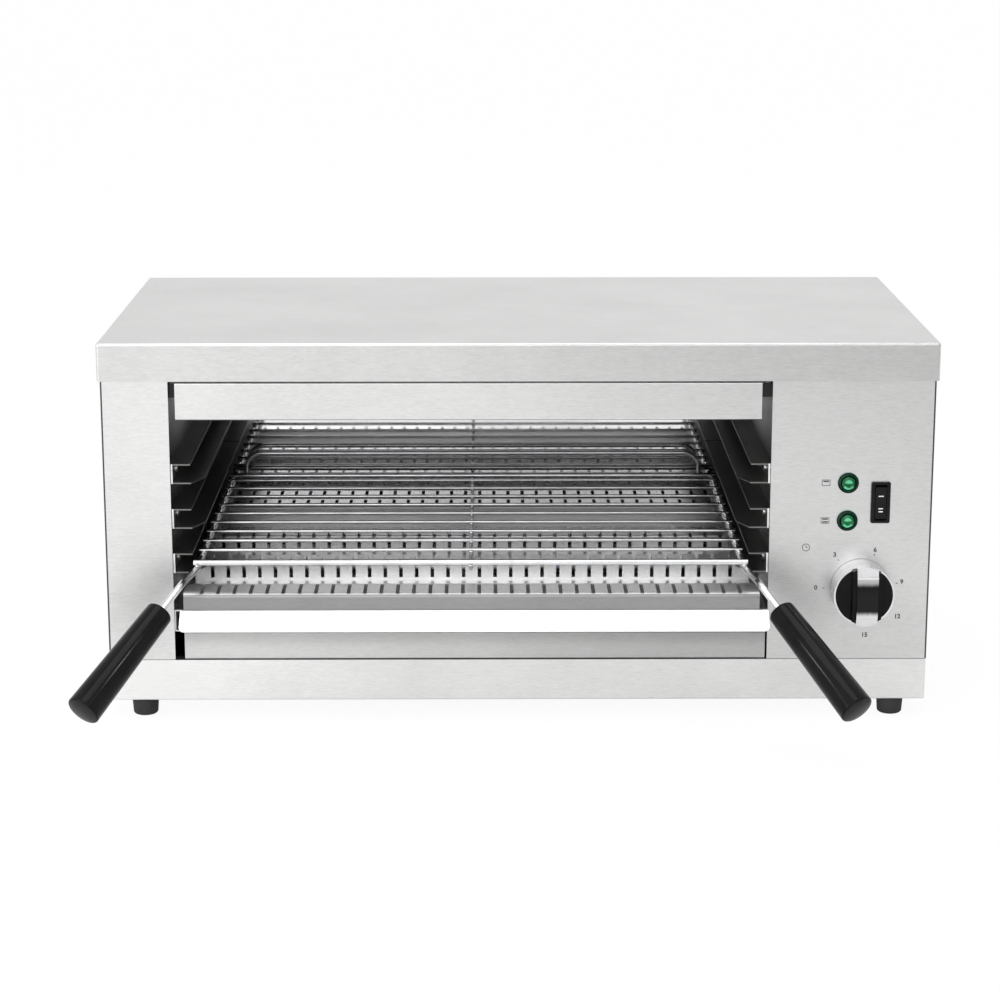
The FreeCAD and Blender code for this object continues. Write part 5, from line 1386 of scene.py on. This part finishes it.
class MELTER_OT_stage(bpy.types.Operator):
    """Set the floor, the studio lamps, the world and the camera"""

    bl_idname = "melter.stage"
    bl_label = "Stage"

    # Each lamp: its name, place, aim, size in metres and power in watts.
    soft_lamps = (
        ("overhead_softbox", (-0.06, -0.35, 1.9), (0, -0.05, 0.1),
         (1.1, 1.1), 7.5),
        ("front_softbox", (-0.35, -3.4, 1.5), (0, 0, 0.12), (3.6, 1.5), 24.0),
        ("left_softbox", (-2.1, -1.5, 0.55), (0, 0, 0.12), (0.9, 1.0), 9.0),
        ("left_strip", (-1.62, -0.75, 1.05), (0.1, 0, 0.08),
         (0.22, 0.22), 2.8),
        ("right_strip", (1.0, -0.85, 1.6), (-0.1, 0, 0.08),
         (0.22, 0.22), 2.8),
    )
    eye = (-22.36 * MM, -1966.36 * MM, 618.16 * MM)
    pitch, yaw = math.radians(90 - 13.56), math.radians(-0.35)
    lens, sensor = 94.43, 36.0

    def execute(self, context):
        self.floor()
        self.world()
        self.lamps()
        self.camera()
        context.scene.view_settings.view_transform = "Standard"
        return {"FINISHED"}

    def floor(self):
        """A pale table top, a little darker in front on the right."""
        bpy.ops.mesh.primitive_plane_add(size=44.0, location=(0, 0, -0.0002))
        floor = bpy.context.active_object
        floor.name = "studio_floor"
        material, tree, shader = blank_material("Studio floor",
                                                {"Roughness": 0.9})
        places = axes(tree)
        right = smooth_step(tree, places["X"], -0.05, 0.18)
        front = smooth_step(tree, places["Y"], -0.55, -0.90)
        apart = arithmetic(tree, "MULTIPLY", right, front)
        tone = chain(tree, apart, ("MULTIPLY", -0.46), ("ADD", 0.92))
        tree.links.new(tone, shader.inputs["Base Color"])
        white = tree.nodes.new("ShaderNodeEmission")
        white.inputs["Strength"].default_value = 1.0
        white.inputs["Color"].default_value = WHITE
        share = arithmetic(tree, "MULTIPLY", white_share(tree, apart, 0.35),
                           0.93)
        mix = tree.nodes.new("ShaderNodeMixShader")
        tree.links.new(share, mix.inputs["Fac"])
        tree.links.new(shader.outputs["BSDF"], mix.inputs[1])
        tree.links.new(white.outputs["Emission"], mix.inputs[2])
        output = tree.nodes["Material Output"]
        tree.links.new(mix.outputs["Shader"], output.inputs["Surface"])
        floor.data.materials.append(material)

    def world(self):
        """White studio, brighter in front on the left, dim on the right."""
        world = bpy.data.worlds.new("Studio")
        bpy.context.scene.world = world
        world.use_nodes = True
        tree = world.node_tree
        background = tree.nodes["Background"]
        places = axes(tree, "Generated")
        front = smooth_step(tree, places["Y"], 0.05, -0.45)
        right = smooth_step(tree, places["X"], -0.08, 0.08)
        far = smooth_step(tree, places["X"], 0.12, 0.35)
        far = arithmetic(tree, "MULTIPLY", far, 0.12)
        level = chain(tree, right, ("MULTIPLY", -0.72), ("ADD", far),
                      ("ADD", 0.32), ("MULTIPLY", front), ("ADD", 1.0))
        seen = tree.nodes.new("ShaderNodeMix")
        seen.data_type = "FLOAT"
        tree.links.new(white_share(tree, front), seen.inputs["Factor"])
        tree.links.new(level, seen.inputs["A"])
        seen.inputs["B"].default_value = 1.0
        tree.links.new(seen.outputs["Result"], background.inputs["Strength"])
        background.inputs["Color"].default_value = WHITE

    def lamps(self):
        """Soft lamps overhead and in front, and a small one at each side."""
        for name, place, aim, size, power in self.soft_lamps:
            bpy.ops.object.light_add(type="AREA", location=place)
            lamp = bpy.context.active_object
            lamp.name = name
            lamp.data.shape = "RECTANGLE"
            lamp.data.size, lamp.data.size_y = size
            lamp.data.energy = power
            way = Vector(aim) - Vector(place)
            lamp.rotation_euler = way.to_track_quat("-Z", "Y").to_euler()

    def camera(self):
        """The photograph's view."""
        bpy.ops.object.camera_add(location=self.eye,
                                  rotation=(self.pitch, 0, self.yaw))
        camera = bpy.context.active_object
        camera.data.sensor_width = self.sensor
        camera.data.lens = self.lens
        bpy.context.scene.camera = camera


class MELTER_PT_panel(bpy.types.Panel):
    """The melter's tools, sizes and colours"""

    bl_idname = "MELTER_PT_panel"
    bl_label = "Cheese melter"
    bl_space_type = "VIEW_3D"
    bl_region_type = "UI"
    bl_category = "Melter"

    def draw(self, context):
        for step in STEPS:
            self.layout.operator(step.bl_idname)
        for group in (sizes(), colours()):
            for name in group.__annotations__:
                self.layout.prop(group, name)


STEPS = (
    MELTER_OT_finishes,
    MELTER_OT_stage,
    MELTER_OT_screws,
    MELTER_OT_lamps,
    MELTER_OT_knob,
    MELTER_OT_grips,
    MELTER_OT_welds,
    MELTER_OT_runner_lips,
    MELTER_OT_feet,
    MELTER_OT_gland,
    MELTER_OT_dial,
    MELTER_OT_signs,
    MELTER_OT_switch_frame,
    MELTER_OT_switch_marks,
)
CLASSES = (MelterSizes, MelterColours, *STEPS, MELTER_PT_panel)


def register():
    """Add the classes and the scene's settings."""
    for kind in CLASSES:
        bpy.utils.register_class(kind)
    bpy.types.Scene.melter_sizes = PointerProperty(type=MelterSizes)
    bpy.types.Scene.melter_colours = PointerProperty(type=MelterColours)


def unregister():
    """Remove the settings and the classes."""
    del bpy.types.Scene.melter_colours
    del bpy.types.Scene.melter_sizes
    for kind in reversed(CLASSES):
        bpy.utils.unregister_class(kind)


def main():
    """Build everything in order."""
    register()
    for step in STEPS:
        family, name = step.bl_idname.split(".")
        getattr(getattr(bpy.ops, family), name)()


if __name__ == "__main__":
    main()
